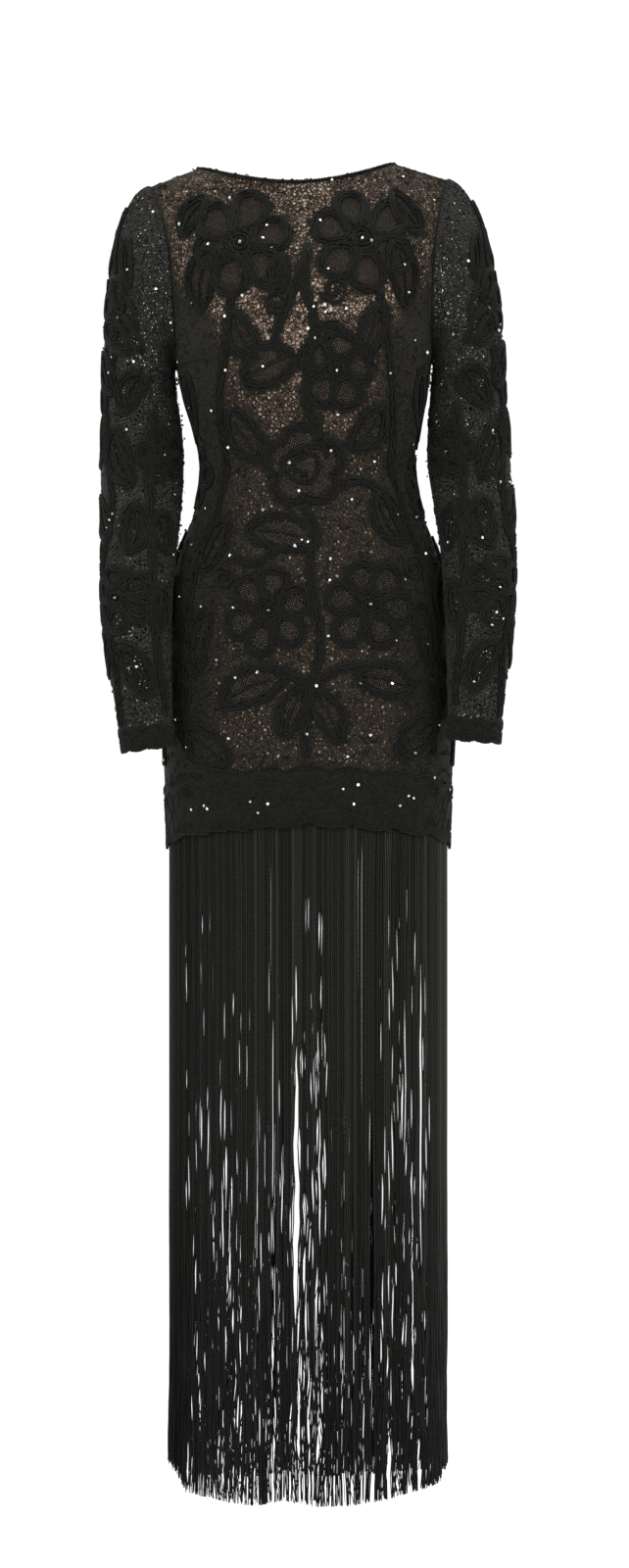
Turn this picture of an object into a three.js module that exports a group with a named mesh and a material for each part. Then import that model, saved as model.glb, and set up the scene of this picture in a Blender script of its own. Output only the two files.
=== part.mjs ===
// Long-sleeved gown: a lined bodice of corded lace down to the hips, fitted lace sleeves, a scalloped
// border round the hip hem, and a floor-length thread fringe hanging from it. It keeps the open, rounded
// form it has when worn. Millimetres, +Z up, and the front faces -Y. The origin is midway between the two
// points where the neckline meets the shoulder seams, which is where a wearer's shoulders carry it.
import * as THREE from "three";

// Cloth
const LACE = 1.6; // corded lace with its embroidery
const LINING = 1.0;
const LAYER_GAP = 0.45; // between two layers of cloth
const SEAM_GAP = 0.4; // between two panels sewn edge to edge
const SLEEVE_GAP = 0.7; // between a sleeve and its armhole, where the cloth turns a corner
const BAND = 1.5; // scalloped borders laid over the lace
const FRINGE_DEPTH = 4; // the rows of thread, from face to back

// Heights
const ARMPIT_Z = -218;
const HEM_FRONT_Z = -716;
const HEM_SIDE_Z = -741;
const HEM_CURVE = 1.6; // how late the hem drops towards the side seams
const FRINGE_END_Z = -1420;
const FRINGE_FRONT_DROP = 16; // the middle threads reach this much lower than those at the sides
const FRINGE_HEADING = 12; // how far the fringe's tape reaches up behind the hem
const FRINGE_ROWS = [0, 0.3, 0.6, 0.88, 0.94, 0.982, 1]; // shares of its height, closer behind the hem
const HEM_BAND_HEIGHT = 66; // the lining ends halfway up it
const CUFF_BAND_HEIGHT = 26;

// Neck and shoulders
const NECK_HALF_WIDTH = 106;
const NECK_FRONT_DROP = 28; // of the neckline's middle below the shoulders' neck points
const NECK_BACK_DROP = 14;
const NECK_RISE = 1.7; // how late the chest and back turn in towards the neckline
const NECK_FRONT_Y = -66;
const NECK_BACK_Y = 60;
const NECK_BLEND = 0.9; // where along the neckline the cloth starts to turn over the shoulder, from 0 to 2
const SHOULDER_HALF_WIDTH = 162;
const SHOULDER_SLOPE = 0.34; // how much lower the shoulder seam gets for each millimetre out
const SHOULDER_Y = 8; // the shoulder seams lie a little behind the middle
const BINDING_RADIUS = 2.6;
const BINDING_GAP = 0.6; // above the neckline's edge, which the binding follows less closely

// Armholes
const ARMPIT_HALF_WIDTH = 138;
const ARMHOLE_FRONT = 50; // how far the armhole bows forward and back of the side seam
const ARMHOLE_BACK = 56;
const ARMHOLE_CURVE = 3; // how late the armhole widens towards the shoulder
const CUT_ANGLE = 58; // degrees round the chest at which the panels meet the sleeves,
const CUT_SETTLES = 0.35; // from this share of the armhole's height up

// The pose the gown keeps: the chest stands a little to one side of the hips, with one shoulder lower.
const SHOULDER_TILT = 0.024;
const TILT_ENDS_Z = -335;

// Sections of the bodice: half its width, its depth in front of and behind the side seams, and the sideways
// place of its middle.
const BODY = [
  { z: -790, side: 152, front: 100, back: 105, lean: 14.5 },
  { z: -716, side: 153, front: 101, back: 107, lean: 14.5 },
  { z: -655, side: 156, front: 104, back: 113, lean: 14.5 },
  { z: -580, side: 159, front: 106, back: 119, lean: 14.5 },
  { z: -515, side: 158, front: 104, back: 121, lean: 14.5 },
  { z: -465, side: 151, front: 101, back: 114, lean: 14.5 },
  { z: -418, side: 139, front: 98, back: 102, lean: 14.5 },
  { z: -375, side: 123, front: 94, back: 89, lean: 14.5 },
  { z: -330, side: 115, front: 92, back: 82, lean: 14 },
  { z: -288, side: 121, front: 98, back: 86, lean: 13 },
  { z: -250, side: 131, front: 109, back: 92, lean: 11 },
  { z: -218, side: 138, front: 117, back: 97, lean: 10 },
  { z: -170, side: 141, front: 118, back: 103, lean: 9 },
  { z: -120, side: 142, front: 110, back: 105, lean: 8 },
  { z: -75, side: 142, front: 96, back: 101, lean: 7 },
  { z: -30, side: 142, front: 78, back: 82, lean: 5 },
  { z: 10, side: 142, front: 62, back: 62, lean: 0 },
];
const SQUARENESS = 0.045; // how much fuller than an ellipse the sections are between front and side
const BUST = { z: -196, x: 66, reach: 6, wide: 52, high: 62 }; // the shaping sewn into the front

// Sections of a sleeve's inside, from the cuff up to below the armhole: its centre from the middle of the
// body, half its size across and from front to back, and the sideways place of the middle between the two.
const SLEEVE = [
  { z: -646, x: 172, y: -84, wide: 25.5, deep: 28, lean: 18 },
  { z: -612, x: 174.5, y: -82, wide: 27.5, deep: 29.5, lean: 17 },
  { z: -569, x: 177.5, y: -79, wide: 30.5, deep: 32, lean: 16 },
  { z: -526, x: 180.5, y: -74, wide: 33.5, deep: 34.5, lean: 15 },
  { z: -470, x: 182, y: -62, wide: 36.5, deep: 37, lean: 14.5 },
  { z: -420, x: 181, y: -42, wide: 39, deep: 40, lean: 14.5 },
  { z: -370, x: 178.5, y: -18, wide: 42, deep: 43, lean: 13.5 },
  { z: -325, x: 176, y: -4, wide: 43.5, deep: 46.5, lean: 11.5 },
  { z: -285, x: 176, y: 0, wide: 42, deep: 48, lean: 11 },
  { z: -250, x: 177, y: 3, wide: 39, deep: 48, lean: 9.5 },
];
const SLEEVE_TOP_Z = SLEEVE.at(-1).z;
const CUFF_Z = -630;
const CUFF_SLANT = 3; // the cuff's outer edge hangs this much lower than its middle
const SHOULDER_PULL = 0.17; // how far the sleeve head follows the shoulder's line, and the arm's,
const ARM_PULL = 0.42; // as shares of the way between them
const SHOULDER_FALL = 0.3; // the fall of the shoulder's line there, for each millimetre out

const FRINGE = { side: 150.5, front: 97, back: 102 }; // where the threads hang free
const FRINGE_NARROWS = 60; // over this drop below the hem

// How finely the cloth is divided
const NECK_COLUMNS = 10; // across the neckline
const SHOULDER_COLUMNS = 3; // outside each end of it
const BODY_ROWS = 11;
const SHOULDER_ROWS = 7; // also half the number of sides of a sleeve
const HEAD_ROWS = 6;
const ARM_ROWS = 8;
const BINDING_SIDES = 8;
const TINY = 1e-4; // a small step, for slopes

const FRONT = -1;
const BACK = 1;

const mix = (a, b, t) => a + (b - a) * t;
const clamp01 = (t) => Math.min(1, Math.max(0, t));
const smooth = (t) => clamp01(t) ** 2 * (3 - 2 * clamp01(t));
const steps = (from, to, count) => Array.from({ length: count + 1 }, (_, i) => mix(from, to, i / count));

// The row of a table at height z, with a smooth curve through each of its columns. Rows go upward.
function rowAt(table, z) {
  const above = table.findIndex((row) => row.z > z);
  const i = above < 0 ? table.length - 2 : Math.max(0, above - 1);
  const [a, b] = [table[i], table[i + 1]];
  const before = table[Math.max(0, i - 1)];
  const after = table[Math.min(table.length - 1, i + 2)];
  const span = b.z - a.z;
  const t = clamp01((z - a.z) / span);
  const row = {};
  for (const key of Object.keys(a)) {
    const slopeA = ((b[key] - before[key]) / (b.z - before.z)) * span;
    const slopeB = ((after[key] - a[key]) / (after.z - a.z)) * span;
    row[key] =
      (2 * t ** 3 - 3 * t ** 2 + 1) * a[key] +
      (t ** 3 - 2 * t ** 2 + t) * slopeA +
      (3 * t ** 2 - 2 * t ** 3) * b[key] +
      (t ** 3 - t ** 2) * slopeB;
  }
  return row;
}

// A point given from the middle of the body, moved by the sideways lean and the shoulders' tilt.
function posed(x, y, z, lean, tiltShare) {
  return new THREE.Vector3(x + lean, y, z + SHOULDER_TILT * x * tiltShare);
}
const bodyTilt = (z) => smooth((z - TILT_ENDS_Z) / (ARMPIT_Z - TILT_ENDS_Z));

const bustShaping = (x, z) =>
  BUST.reach * Math.exp(-(((Math.abs(x) - BUST.x) / BUST.wide) ** 2) - ((z - BUST.z) / BUST.high) ** 2);

const fullness = (angle) => 1 + SQUARENESS * Math.sin(2 * angle) ** 2;

// A point of the bodice below the armpits. sideways runs from -1 to 1, from side seam to side seam.
function lowerPoint(face, sideways, z) {
  const row = rowAt(BODY, z);
  const angle = (sideways * Math.PI) / 2;
  const x = row.side * Math.sin(angle) * fullness(angle);
  const middle = face === FRONT ? row.front + bustShaping(x, z) : row.back;
  const depth = middle * Math.cos(angle) * fullness(angle);
  return posed(x, face * (depth + SEAM_GAP / 2), z, row.lean, bodyTilt(z));
}

// The top edge of the front or back at x from its middle: the neckline, then the shoulder seam.
function topEdge(face, x) {
  const neckShare = Math.min(1, Math.abs(x) / NECK_HALF_WIDTH);
  const curve = Math.cos((neckShare * Math.PI) / 2);
  const pastNeck = Math.max(0, Math.abs(x) - NECK_HALF_WIDTH);
  return {
    neckShare,
    y: mix(SHOULDER_Y, face === FRONT ? NECK_FRONT_Y : NECK_BACK_Y, curve),
    z: -(face === FRONT ? NECK_FRONT_DROP : NECK_BACK_DROP) * curve - SHOULDER_SLOPE * pastNeck,
  };
}

// A point of the bodice above the armpits. up runs from 0 at the armpit to 1 at the top edge.
function upperPoint(face, sideways, up) {
  const cut = mix(90, CUT_ANGLE, smooth(up / CUT_SETTLES)) * (Math.PI / 180);
  const angle = sideways * cut;
  const halfWidth = mix(ARMPIT_HALF_WIDTH, SHOULDER_HALF_WIDTH, up ** ARMHOLE_CURVE);
  const x = (halfWidth * Math.sin(angle) * fullness(angle)) / (Math.sin(cut) * fullness(cut));
  const top = topEdge(face, x);
  const z = mix(ARMPIT_Z, top.z, up);
  const row = rowAt(BODY, z);
  const bow = (face === FRONT ? ARMHOLE_FRONT : ARMHOLE_BACK) * 2 * Math.sqrt(Math.max(0, up * (1 - up)));
  const middle = face === FRONT ? row.front + bustShaping(x, z) : row.back;
  const inward = ((Math.cos(angle) - Math.cos(cut)) / (1 - Math.cos(cut))) * fullness(angle);
  const chestY = mix(face * bow + SHOULDER_Y * up, face * middle, inward);
  const rise = clamp01(2 * up - 1);
  const overShoulder = 1 - Math.sqrt(1 - rise ** 2);
  const turnsOver = mix(rise ** NECK_RISE, overShoulder, smooth(2 * top.neckShare - NECK_BLEND));
  return posed(x, mix(chestY, top.y, turnsOver) + (face * SEAM_GAP) / 2, z, row.lean, 1);
}

const hemZ = (sideways) => mix(HEM_FRONT_Z, HEM_SIDE_Z, Math.abs(sideways) ** HEM_CURVE);

// Every surface below takes a place across it, from the left as seen from outside, and one up it, so that
// its outward direction always comes out the same way.

// The front or back of the bodice. rise runs from 0 at the hem to 1 at the armpits and 2 at the top.
function bodice(face) {
  return (across, rise) => {
    const sideways = -face * across;
    return rise <= 1
      ? lowerPoint(face, sideways, mix(hemZ(sideways), ARMPIT_Z, rise))
      : upperPoint(face, sideways, rise - 1);
  };
}

// One half of the back, moved off the centre-back seam.
function backHalf(side) {
  const surface = bodice(BACK);
  return (across, rise) => surface(across, rise).add(new THREE.Vector3((side * SEAM_GAP) / 2, 0, 0));
}

// A sleeve. turn goes once round it from the armpit, and climb runs from 0 at the cuff to 1 where the arm
// hangs free and 2 at the armhole.
function sleeve(side) {
  const ringPoint = (round, z) => {
    const row = rowAt(SLEEVE, z);
    const x = row.x - row.wide * Math.cos(round);
    return posed(side * x, row.y - row.deep * Math.sin(round), z, row.lean, 1);
  };
  return (turn, climb) => {
    const round = (side * turn + 2 * Math.PI) % (2 * Math.PI);
    if (climb <= 1) {
      const cuffZ = CUFF_Z + CUFF_SLANT * Math.cos(round);
      return ringPoint(round, mix(cuffZ, SLEEVE_TOP_Z, climb));
    }
    const start = upperPoint(round < Math.PI ? FRONT : BACK, side, (1 - Math.cos(round)) / 2);
    start.x += side * SLEEVE_GAP;
    start.z += SLEEVE_GAP / 2;
    const end = ringPoint(round, SLEEVE_TOP_Z);
    const reach = start.distanceTo(end);
    const shoulderLine = new THREE.Vector3(side, 0, -SHOULDER_FALL).normalize();
    const armLine = new THREE.Vector3(0, 0, 1);
    return new THREE.CubicBezierCurve3(
      end,
      end.clone().addScaledVector(armLine, reach * ARM_PULL),
      start.clone().addScaledVector(shoulderLine, reach * SHOULDER_PULL),
      start,
    ).getPoint(climb - 1);
  };
}

// The fringe below the front or back. climb runs from 0 at the thread ends to 1 at the top of its tape.
function fringe(face) {
  const lace = bodice(face);
  return (across, climb) => {
    const hem = hemZ(across);
    const angle = (across * Math.PI) / 2;
    const endZ = FRINGE_END_Z - FRINGE_FRONT_DROP * Math.cos(angle);
    const z = mix(endZ, hem + FRINGE_HEADING, climb);
    const rise = Math.max(0, (z - hem) / (ARMPIT_Z - hem));
    const behindLace = offsetPoint(lace, across, rise, -LACE - LAYER_GAP);
    const depth = (face === FRONT ? FRINGE.front : FRINGE.back) * Math.cos(angle) * fullness(angle);
    const x = -face * FRINGE.side * Math.sin(angle) * fullness(angle);
    const free = posed(x, face * (depth + SEAM_GAP / 2), z, rowAt(BODY, z).lean, 0);
    const share = smooth((hem - z) / FRINGE_NARROWS);
    return new THREE.Vector3(mix(behindLace.x, free.x, share), mix(behindLace.y, free.y, share), z);
  };
}

// The point of a surface moved outward. Where the front meets the back at a shoulder, the cloth is cut
// straight down, so the two stay clear of each other.
function offsetPoint(surface, u, v, distance) {
  const point = surface(u, v);
  const alongU = surface(u + TINY, v).sub(surface(u - TINY, v));
  const alongV = surface(u, v + TINY).sub(surface(u, v - TINY));
  const outward = alongU.cross(alongV).normalize();
  if (v === 2 && Math.abs(point.y - SHOULDER_Y) < SEAM_GAP) outward.setY(0).normalize();
  return point.addScaledVector(outward, distance);
}

// The faces between two neighbouring sections of a solid. Each section goes up the cloth's outside and down
// its inside, and both sides of the cloth are split along the same diagonals, so layers stay parallel.
function facesBetween(here, next, size) {
  const faces = [];
  for (let c = 0; c < size; c++) {
    const [a, b, d, e] = [here + c, here + ((c + 1) % size), next + c, next + ((c + 1) % size)];
    faces.push(...(c < size / 2 ? [a, b, e, a, e, d] : [a, b, d, b, e, d]));
  }
  return faces;
}

// A closed solid from a ring of sections, each of which closes on itself.
function solidOfRing(grid) {
  const size = grid[0].length;
  const index = grid.flatMap((_, r) => facesBetween(r * size, ((r + 1) % grid.length) * size, size));
  return outwardGeometry(grid, index);
}

// A closed solid from a row of sections, with both end sections closed.
function solidOfStrip(grid) {
  const size = grid[0].length;
  const index = grid.slice(1).flatMap((_, r) => facesBetween(r * size, (r + 1) * size, size));
  const last = (grid.length - 1) * size;
  for (let c = 0; c < size / 2 - 1; c++) {
    const [outerA, outerB, innerA, innerB] = [c, c + 1, size - 1 - c, size - 2 - c];
    index.push(outerA, innerB, outerB, outerA, innerA, innerB);
    index.push(last + outerA, last + outerB, last + innerB, last + outerA, last + innerB, last + innerA);
  }
  return outwardGeometry(grid, index);
}

// Turns the faces round where the volume they enclose comes out negative.
function outwardGeometry(grid, index) {
  const points = grid.flat();
  let volume = 0;
  for (let i = 0; i < index.length; i += 3) {
    const [a, b, c] = [points[index[i]], points[index[i + 1]], points[index[i + 2]]];
    volume += a.dot(b.clone().cross(c));
  }
  if (volume < 0) index.reverse();
  const geometry = new THREE.BufferGeometry().setFromPoints(points);
  geometry.setIndex(index);
  geometry.computeVertexNormals();
  return geometry;
}

// A wall of cloth between two distances from a surface, over the listed places across and up it.
function wall(surface, acrosses, rises, outer, inner, closedAround = false) {
  const grid = acrosses.map((across) => [
    ...rises.map((rise) => offsetPoint(surface, across, rise, outer)),
    ...rises.toReversed().map((rise) => offsetPoint(surface, across, rise, inner)),
  ]);
  return closedAround ? solidOfRing(grid) : solidOfStrip(grid);
}

// The binding is a cord along the top edges of the neckline, front and back.
function neckBinding() {
  const edge = (face) =>
    neckAcrosses.slice(0, -1).map((across) => {
      const middle = offsetPoint(bodice(face), across, 2, -(LACE + LAYER_GAP + LINING) / 2);
      return middle.setZ(bodice(face)(across, 2).z + BINDING_RADIUS + BINDING_GAP);
    });
  const path = [...edge(FRONT), ...edge(BACK)];
  const ring = path.map((point, i) => {
    const along = path[(i + 1) % path.length].clone().sub(path.at(i - 1)).normalize();
    const out = along.clone().cross(new THREE.Vector3(0, 0, 1)).normalize();
    const up = out.clone().cross(along);
    return binderTurns.map((turn) => {
      const spoke = out.clone().multiplyScalar(Math.cos(turn)).addScaledVector(up, Math.sin(turn));
      return point.clone().addScaledVector(spoke, BINDING_RADIUS);
    });
  });
  return solidOfRing(ring);
}

// The place across the bodice where the neckline meets the shoulder seam, found by halving.
function neckEnd() {
  let [low, high] = [0, 1];
  while (high - low > TINY) {
    const middle = (low + high) / 2;
    const reached = upperPoint(FRONT, middle, 1).x - upperPoint(FRONT, 0, 1).x;
    if (reached < NECK_HALF_WIDTH) low = middle;
    else high = middle;
  }
  return high;
}

// Places across the bodice: some outside each end of the neckline, and more between them.
const neckAcrosses = steps(-neckEnd(), neckEnd(), NECK_COLUMNS);
const outerAcrosses = steps(neckEnd(), 1, SHOULDER_COLUMNS).slice(1);
const allAcross = [...outerAcrosses.map((a) => -a).reverse(), ...neckAcrosses, ...outerAcrosses];

// Places up the bodice: even below the armpits, and closer together at both ends of the armhole above them.
const bandRise = HEM_BAND_HEIGHT / (ARMPIT_Z - HEM_FRONT_Z);
const shoulderRises = steps(0, Math.PI, SHOULDER_ROWS).map((a) => 1 + (1 - Math.cos(a)) / 2);
const hemBandRises = [0, bandRise / 2, bandRise];
const bodyRises = [...hemBandRises, ...steps(bandRise, 1, BODY_ROWS).slice(1), ...shoulderRises.slice(1)];
const liningRises = bodyRises.slice(1);

const turns = steps(0, -2 * Math.PI, 2 * SHOULDER_ROWS).slice(0, -1);
const binderTurns = steps(0, 2 * Math.PI, BINDING_SIDES).slice(0, -1);
const cuffBandClimb = CUFF_BAND_HEIGHT / (SLEEVE_TOP_Z - CUFF_Z);
const cuffBandClimbs = [0, cuffBandClimb / 2, cuffBandClimb];
const armClimbs = steps(cuffBandClimb, 1, ARM_ROWS).slice(1);
const headClimbs = steps(1, 2, HEAD_ROWS).slice(1);
const sleeveClimbs = [...cuffBandClimbs, ...armClimbs, ...headClimbs];

const materials = {
  lace: new THREE.MeshStandardMaterial({ color: "#16130f", roughness: 0.85 }),
  border: new THREE.MeshStandardMaterial({ color: "#0f100e", roughness: 0.8 }),
  lining: new THREE.MeshStandardMaterial({ color: "#9a7a62", roughness: 0.6 }),
  fringe: new THREE.MeshStandardMaterial({ color: "#141413", roughness: 0.45 }),
};

const gown = new THREE.Group();
function addPiece(name, geometry, material) {
  const mesh = new THREE.Mesh(geometry, material);
  mesh.name = name;
  gown.add(mesh);
}

// The front or one half of the back: a panel of lace, with its lining inside.
function addPanel(place, surface, acrosses) {
  const liningOuter = -LACE - LAYER_GAP;
  addPiece(place.replace("*", "lace"), wall(surface, acrosses, bodyRises, 0, -LACE), materials.lace);
  const lining = wall(surface, acrosses, liningRises, liningOuter, liningOuter - LINING);
  addPiece(place.replace("*", "lining"), lining, materials.lining);
}

// A border laid over the edge of a panel or sleeve, whose outer face lies clothFace outside its surface.
function addBorder(name, surface, acrosses, rises, clothFace, closedAround) {
  const inner = clothFace + LAYER_GAP;
  addPiece(name, wall(surface, acrosses, rises, inner + BAND, inner, closedAround), materials.border);
}

addPanel("front_*", bodice(FRONT), allAcross);
for (const { name, side } of [{ name: "left", side: 1 }, { name: "right", side: -1 }]) {
  addPanel(`back_*_${name}`, backHalf(side), allAcross.filter((a) => a * side <= TINY));
  addPiece(`sleeve_${name}`, wall(sleeve(side), turns, sleeveClimbs, 0, LACE, true), materials.lace);
  addBorder(`cuff_band_${name}`, sleeve(side), turns, cuffBandClimbs, LACE, true);
}
for (const { name, face } of [{ name: "front", face: FRONT }, { name: "back", face: BACK }]) {
  addBorder(`hem_band_${name}`, bodice(face), allAcross, hemBandRises, 0, false);
  const threads = wall(fringe(face), allAcross, FRINGE_ROWS, 0, -FRINGE_DEPTH);
  addPiece(`fringe_${name}`, threads, materials.fringe);
}
addPiece("neck_binding", neckBinding(), materials.border);

export default gown;
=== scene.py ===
"""The looks of a long-sleeved lace gown with a floor-length fringe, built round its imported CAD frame.

Metres, +Z up, and the gown faces -Y. Cloth surfaces are worked out in millimetres, as they are in the
part's own source, and laid out flat for the corded flowers and leaves that are couched on them.
"""
import math
from collections import namedtuple

import bpy
import numpy as np
from bpy.props import FloatProperty, FloatVectorProperty, IntProperty, PointerProperty
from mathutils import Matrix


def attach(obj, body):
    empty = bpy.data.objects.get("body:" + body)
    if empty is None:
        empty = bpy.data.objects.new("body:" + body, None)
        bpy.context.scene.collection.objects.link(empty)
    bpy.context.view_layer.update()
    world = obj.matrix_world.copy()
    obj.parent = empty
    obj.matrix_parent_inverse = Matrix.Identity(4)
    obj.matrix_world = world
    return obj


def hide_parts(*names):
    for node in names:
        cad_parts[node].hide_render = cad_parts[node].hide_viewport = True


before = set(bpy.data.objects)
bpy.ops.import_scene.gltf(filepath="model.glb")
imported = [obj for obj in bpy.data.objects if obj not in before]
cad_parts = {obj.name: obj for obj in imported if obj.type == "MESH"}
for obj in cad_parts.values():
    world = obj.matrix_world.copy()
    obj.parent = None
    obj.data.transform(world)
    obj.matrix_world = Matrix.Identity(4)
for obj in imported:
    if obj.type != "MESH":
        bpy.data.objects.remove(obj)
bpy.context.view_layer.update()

bl_info = {
    "name": "Lace and fringe gown",
    "version": (1, 0, 0),
    "blender": (4, 5, 0),
    "location": "View3D > Sidebar > Gown",
    "description": "Builds a corded lace gown with a long thread fringe around its CAD frame",
    "category": "Object",
}

MM = 0.001
FRONT, BACK = -1, 1
SIDES = {"left": 1, "right": -1}
TAU = 2 * math.pi
SEEDS = {"front": 11, "back": 12, "sleeve_left": 16, "sleeve_right": 14, "ground": 31, "neck": 41, "hem": 51,
         "cuff": 61, "gaps": 70, "fringe": 71, "sequins": 81}
MIDDLE_X = 14.5  # the middle of the skirt and fringe, which hang a little to one side

# ---- The gown's form, in millimetres ----

LACE, LINING, LAYER_GAP, SEAM_GAP, SLEEVE_GAP = 1.6, 1.0, 0.45, 0.4, 0.7
ARMPIT_Z, HEM_FRONT_Z, HEM_SIDE_Z, HEM_CURVE = -218, -716, -741, 1.6
FRINGE_END_Z, FRINGE_HEADING, FRINGE_NARROWS = -1420, 12, 60
FRINGE_SIDE, FRINGE_FRONT, FRINGE_BACK = 150.5, 97, 102
NECK_HALF_WIDTH, NECK_FRONT_DROP, NECK_BACK_DROP, NECK_RISE = 106, 28, 14, 1.7
NECK_FRONT_Y, NECK_BACK_Y, NECK_BLEND = -66, 60, 0.9
SHOULDER_HALF_WIDTH, SHOULDER_SLOPE, SHOULDER_Y, BINDING_RADIUS = 162, 0.34, 8, 2.6
ARMPIT_HALF_WIDTH, ARMHOLE_FRONT, ARMHOLE_BACK, ARMHOLE_CURVE = 138, 50, 56, 3
CUT_ANGLE, CUT_SETTLES = 58, 0.35
SHOULDER_TILT, TILT_ENDS_Z = 0.024, -335
SQUARENESS = 0.045
BUST_REACH, BUST_X, BUST_WIDE, BUST_Z, BUST_HIGH = 6, 66, 52, -196, 62

# Sections of the bodice: height, half width, depth in front, depth behind, sideways place of the middle.
BODY = np.array([
    (-790, 152, 100, 105, 14.5), (-716, 153, 101, 107, 14.5), (-655, 156, 104, 113, 14.5),
    (-580, 159, 106, 119, 14.5), (-515, 158, 104, 121, 14.5), (-465, 151, 101, 114, 14.5),
    (-418, 139, 98, 102, 14.5), (-375, 123, 94, 89, 14.5), (-330, 115, 92, 82, 14),
    (-288, 121, 98, 86, 13), (-250, 131, 109, 92, 11), (-218, 138, 117, 97, 10),
    (-170, 141, 118, 103, 9), (-120, 142, 110, 105, 8), (-75, 142, 96, 101, 7),
    (-30, 142, 78, 82, 5), (10, 142, 62, 62, 0),
], float)

# Sections of a sleeve's inside: height, centre out from the body's middle, centre from front to back,
# half width, half depth, sideways place of the middle between the sleeves.
SLEEVE = np.array([
    (-646, 172, -84, 25.5, 28, 18), (-612, 174.5, -82, 27.5, 29.5, 17), (-569, 177.5, -79, 30.5, 32, 16),
    (-526, 180.5, -74, 33.5, 34.5, 15), (-470, 182, -62, 36.5, 37, 14.5), (-420, 181, -42, 39, 40, 14.5),
    (-370, 178.5, -18, 42, 43, 13.5), (-325, 176, -4, 43.5, 46.5, 11.5), (-285, 176, 0, 42, 48, 11),
    (-250, 177, 3, 39, 48, 9.5),
], float)
SLEEVE_TOP_Z = SLEEVE[-1, 0]
CUFF_Z, CUFF_SLANT = -630, 3
SHOULDER_PULL, ARM_PULL = 0.17, 0.42
SHOULDER_FALL = 0.3
TINY = 1e-4


def mix(a, b, t):
    return a + (b - a) * t


def smooth(t):
    t = np.clip(t, 0, 1)
    return t * t * (3 - 2 * t)


def unit(vectors):
    return vectors / np.maximum(np.linalg.norm(vectors, axis=-1, keepdims=True), 1e-12)


def row_at(table, z):
    """The columns of a table after the first, at height z, with a smooth curve through each."""
    z = np.asarray(z, float)
    i = np.clip(np.searchsorted(table[:, 0], z, side="right") - 1, 0, len(table) - 2)
    a, b = table[i], table[i + 1]
    before, after = table[np.maximum(i - 1, 0)], table[np.minimum(i + 2, len(table) - 1)]
    span = b[..., :1] - a[..., :1]
    t = np.clip((z[..., None] - a[..., :1]) / span, 0, 1)
    slope_a = (b - before) / (b[..., :1] - before[..., :1]) * span
    slope_b = (after - a) / (after[..., :1] - a[..., :1]) * span
    row = (2 * t**3 - 3 * t**2 + 1) * a + (t**3 - 2 * t**2 + t) * slope_a
    row = row + (3 * t**2 - 2 * t**3) * b + (t**3 - t**2) * slope_b
    return np.moveaxis(row, -1, 0)[1:]


def posed(x, y, z, lean, tilt):
    x, y, z, lean, tilt = np.broadcast_arrays(x, y, z, lean, tilt)
    return np.stack([x + lean, y, z + SHOULDER_TILT * x * tilt], -1)


def fullness(angle):
    return 1 + SQUARENESS * np.sin(2 * angle) ** 2


def bust(x, z):
    return BUST_REACH * np.exp(-(((np.abs(x) - BUST_X) / BUST_WIDE) ** 2) - ((z - BUST_Z) / BUST_HIGH) ** 2)


def lower_point(face, sideways, z):
    """A point of the bodice below the armpits. sideways runs from -1 to 1, from side seam to side seam."""
    side, front, back, lean = row_at(BODY, z)
    angle = sideways * math.pi / 2
    x = side * np.sin(angle) * fullness(angle)
    middle = front + bust(x, z) if face == FRONT else back
    depth = middle * np.cos(angle) * fullness(angle)
    tilt = smooth((z - TILT_ENDS_Z) / (ARMPIT_Z - TILT_ENDS_Z))
    return posed(x, face * (depth + SEAM_GAP / 2), z, lean, tilt)


def upper_point(face, sideways, up):
    """A point of the bodice above the armpits. up runs from 0 there to 1 at the neckline and shoulders."""
    cut = np.radians(mix(90, CUT_ANGLE, smooth(up / CUT_SETTLES)))
    angle = sideways * cut
    half_width = mix(ARMPIT_HALF_WIDTH, SHOULDER_HALF_WIDTH, up**ARMHOLE_CURVE)
    x = half_width * np.sin(angle) * fullness(angle) / (np.sin(cut) * fullness(cut))
    neck_share = np.minimum(1, np.abs(x) / NECK_HALF_WIDTH)
    past_neck = np.maximum(0, np.abs(x) - NECK_HALF_WIDTH)
    curve = np.cos(neck_share * math.pi / 2)
    top_y = mix(SHOULDER_Y, NECK_FRONT_Y if face == FRONT else NECK_BACK_Y, curve)
    top_z = -(NECK_FRONT_DROP if face == FRONT else NECK_BACK_DROP) * curve - SHOULDER_SLOPE * past_neck
    z = mix(ARMPIT_Z, top_z, up)
    _, front, back, lean = row_at(BODY, z)
    bow = (ARMHOLE_FRONT if face == FRONT else ARMHOLE_BACK) * 2 * np.sqrt(np.maximum(0, up * (1 - up)))
    middle = front + bust(x, z) if face == FRONT else back
    inward = (np.cos(angle) - np.cos(cut)) / (1 - np.cos(cut)) * fullness(angle)
    chest_y = mix(face * bow + SHOULDER_Y * up, face * middle, inward)
    rise = np.clip(2 * up - 1, 0, 1)
    over_shoulder = 1 - np.sqrt(1 - rise**2)
    turns_over = mix(rise**NECK_RISE, over_shoulder, smooth(2 * neck_share - NECK_BLEND))
    return posed(x, mix(chest_y, top_y, turns_over) + face * SEAM_GAP / 2, z, lean, 1)


def hem_z(sideways):
    return mix(HEM_FRONT_Z, HEM_SIDE_Z, np.abs(sideways) ** HEM_CURVE)


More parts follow.
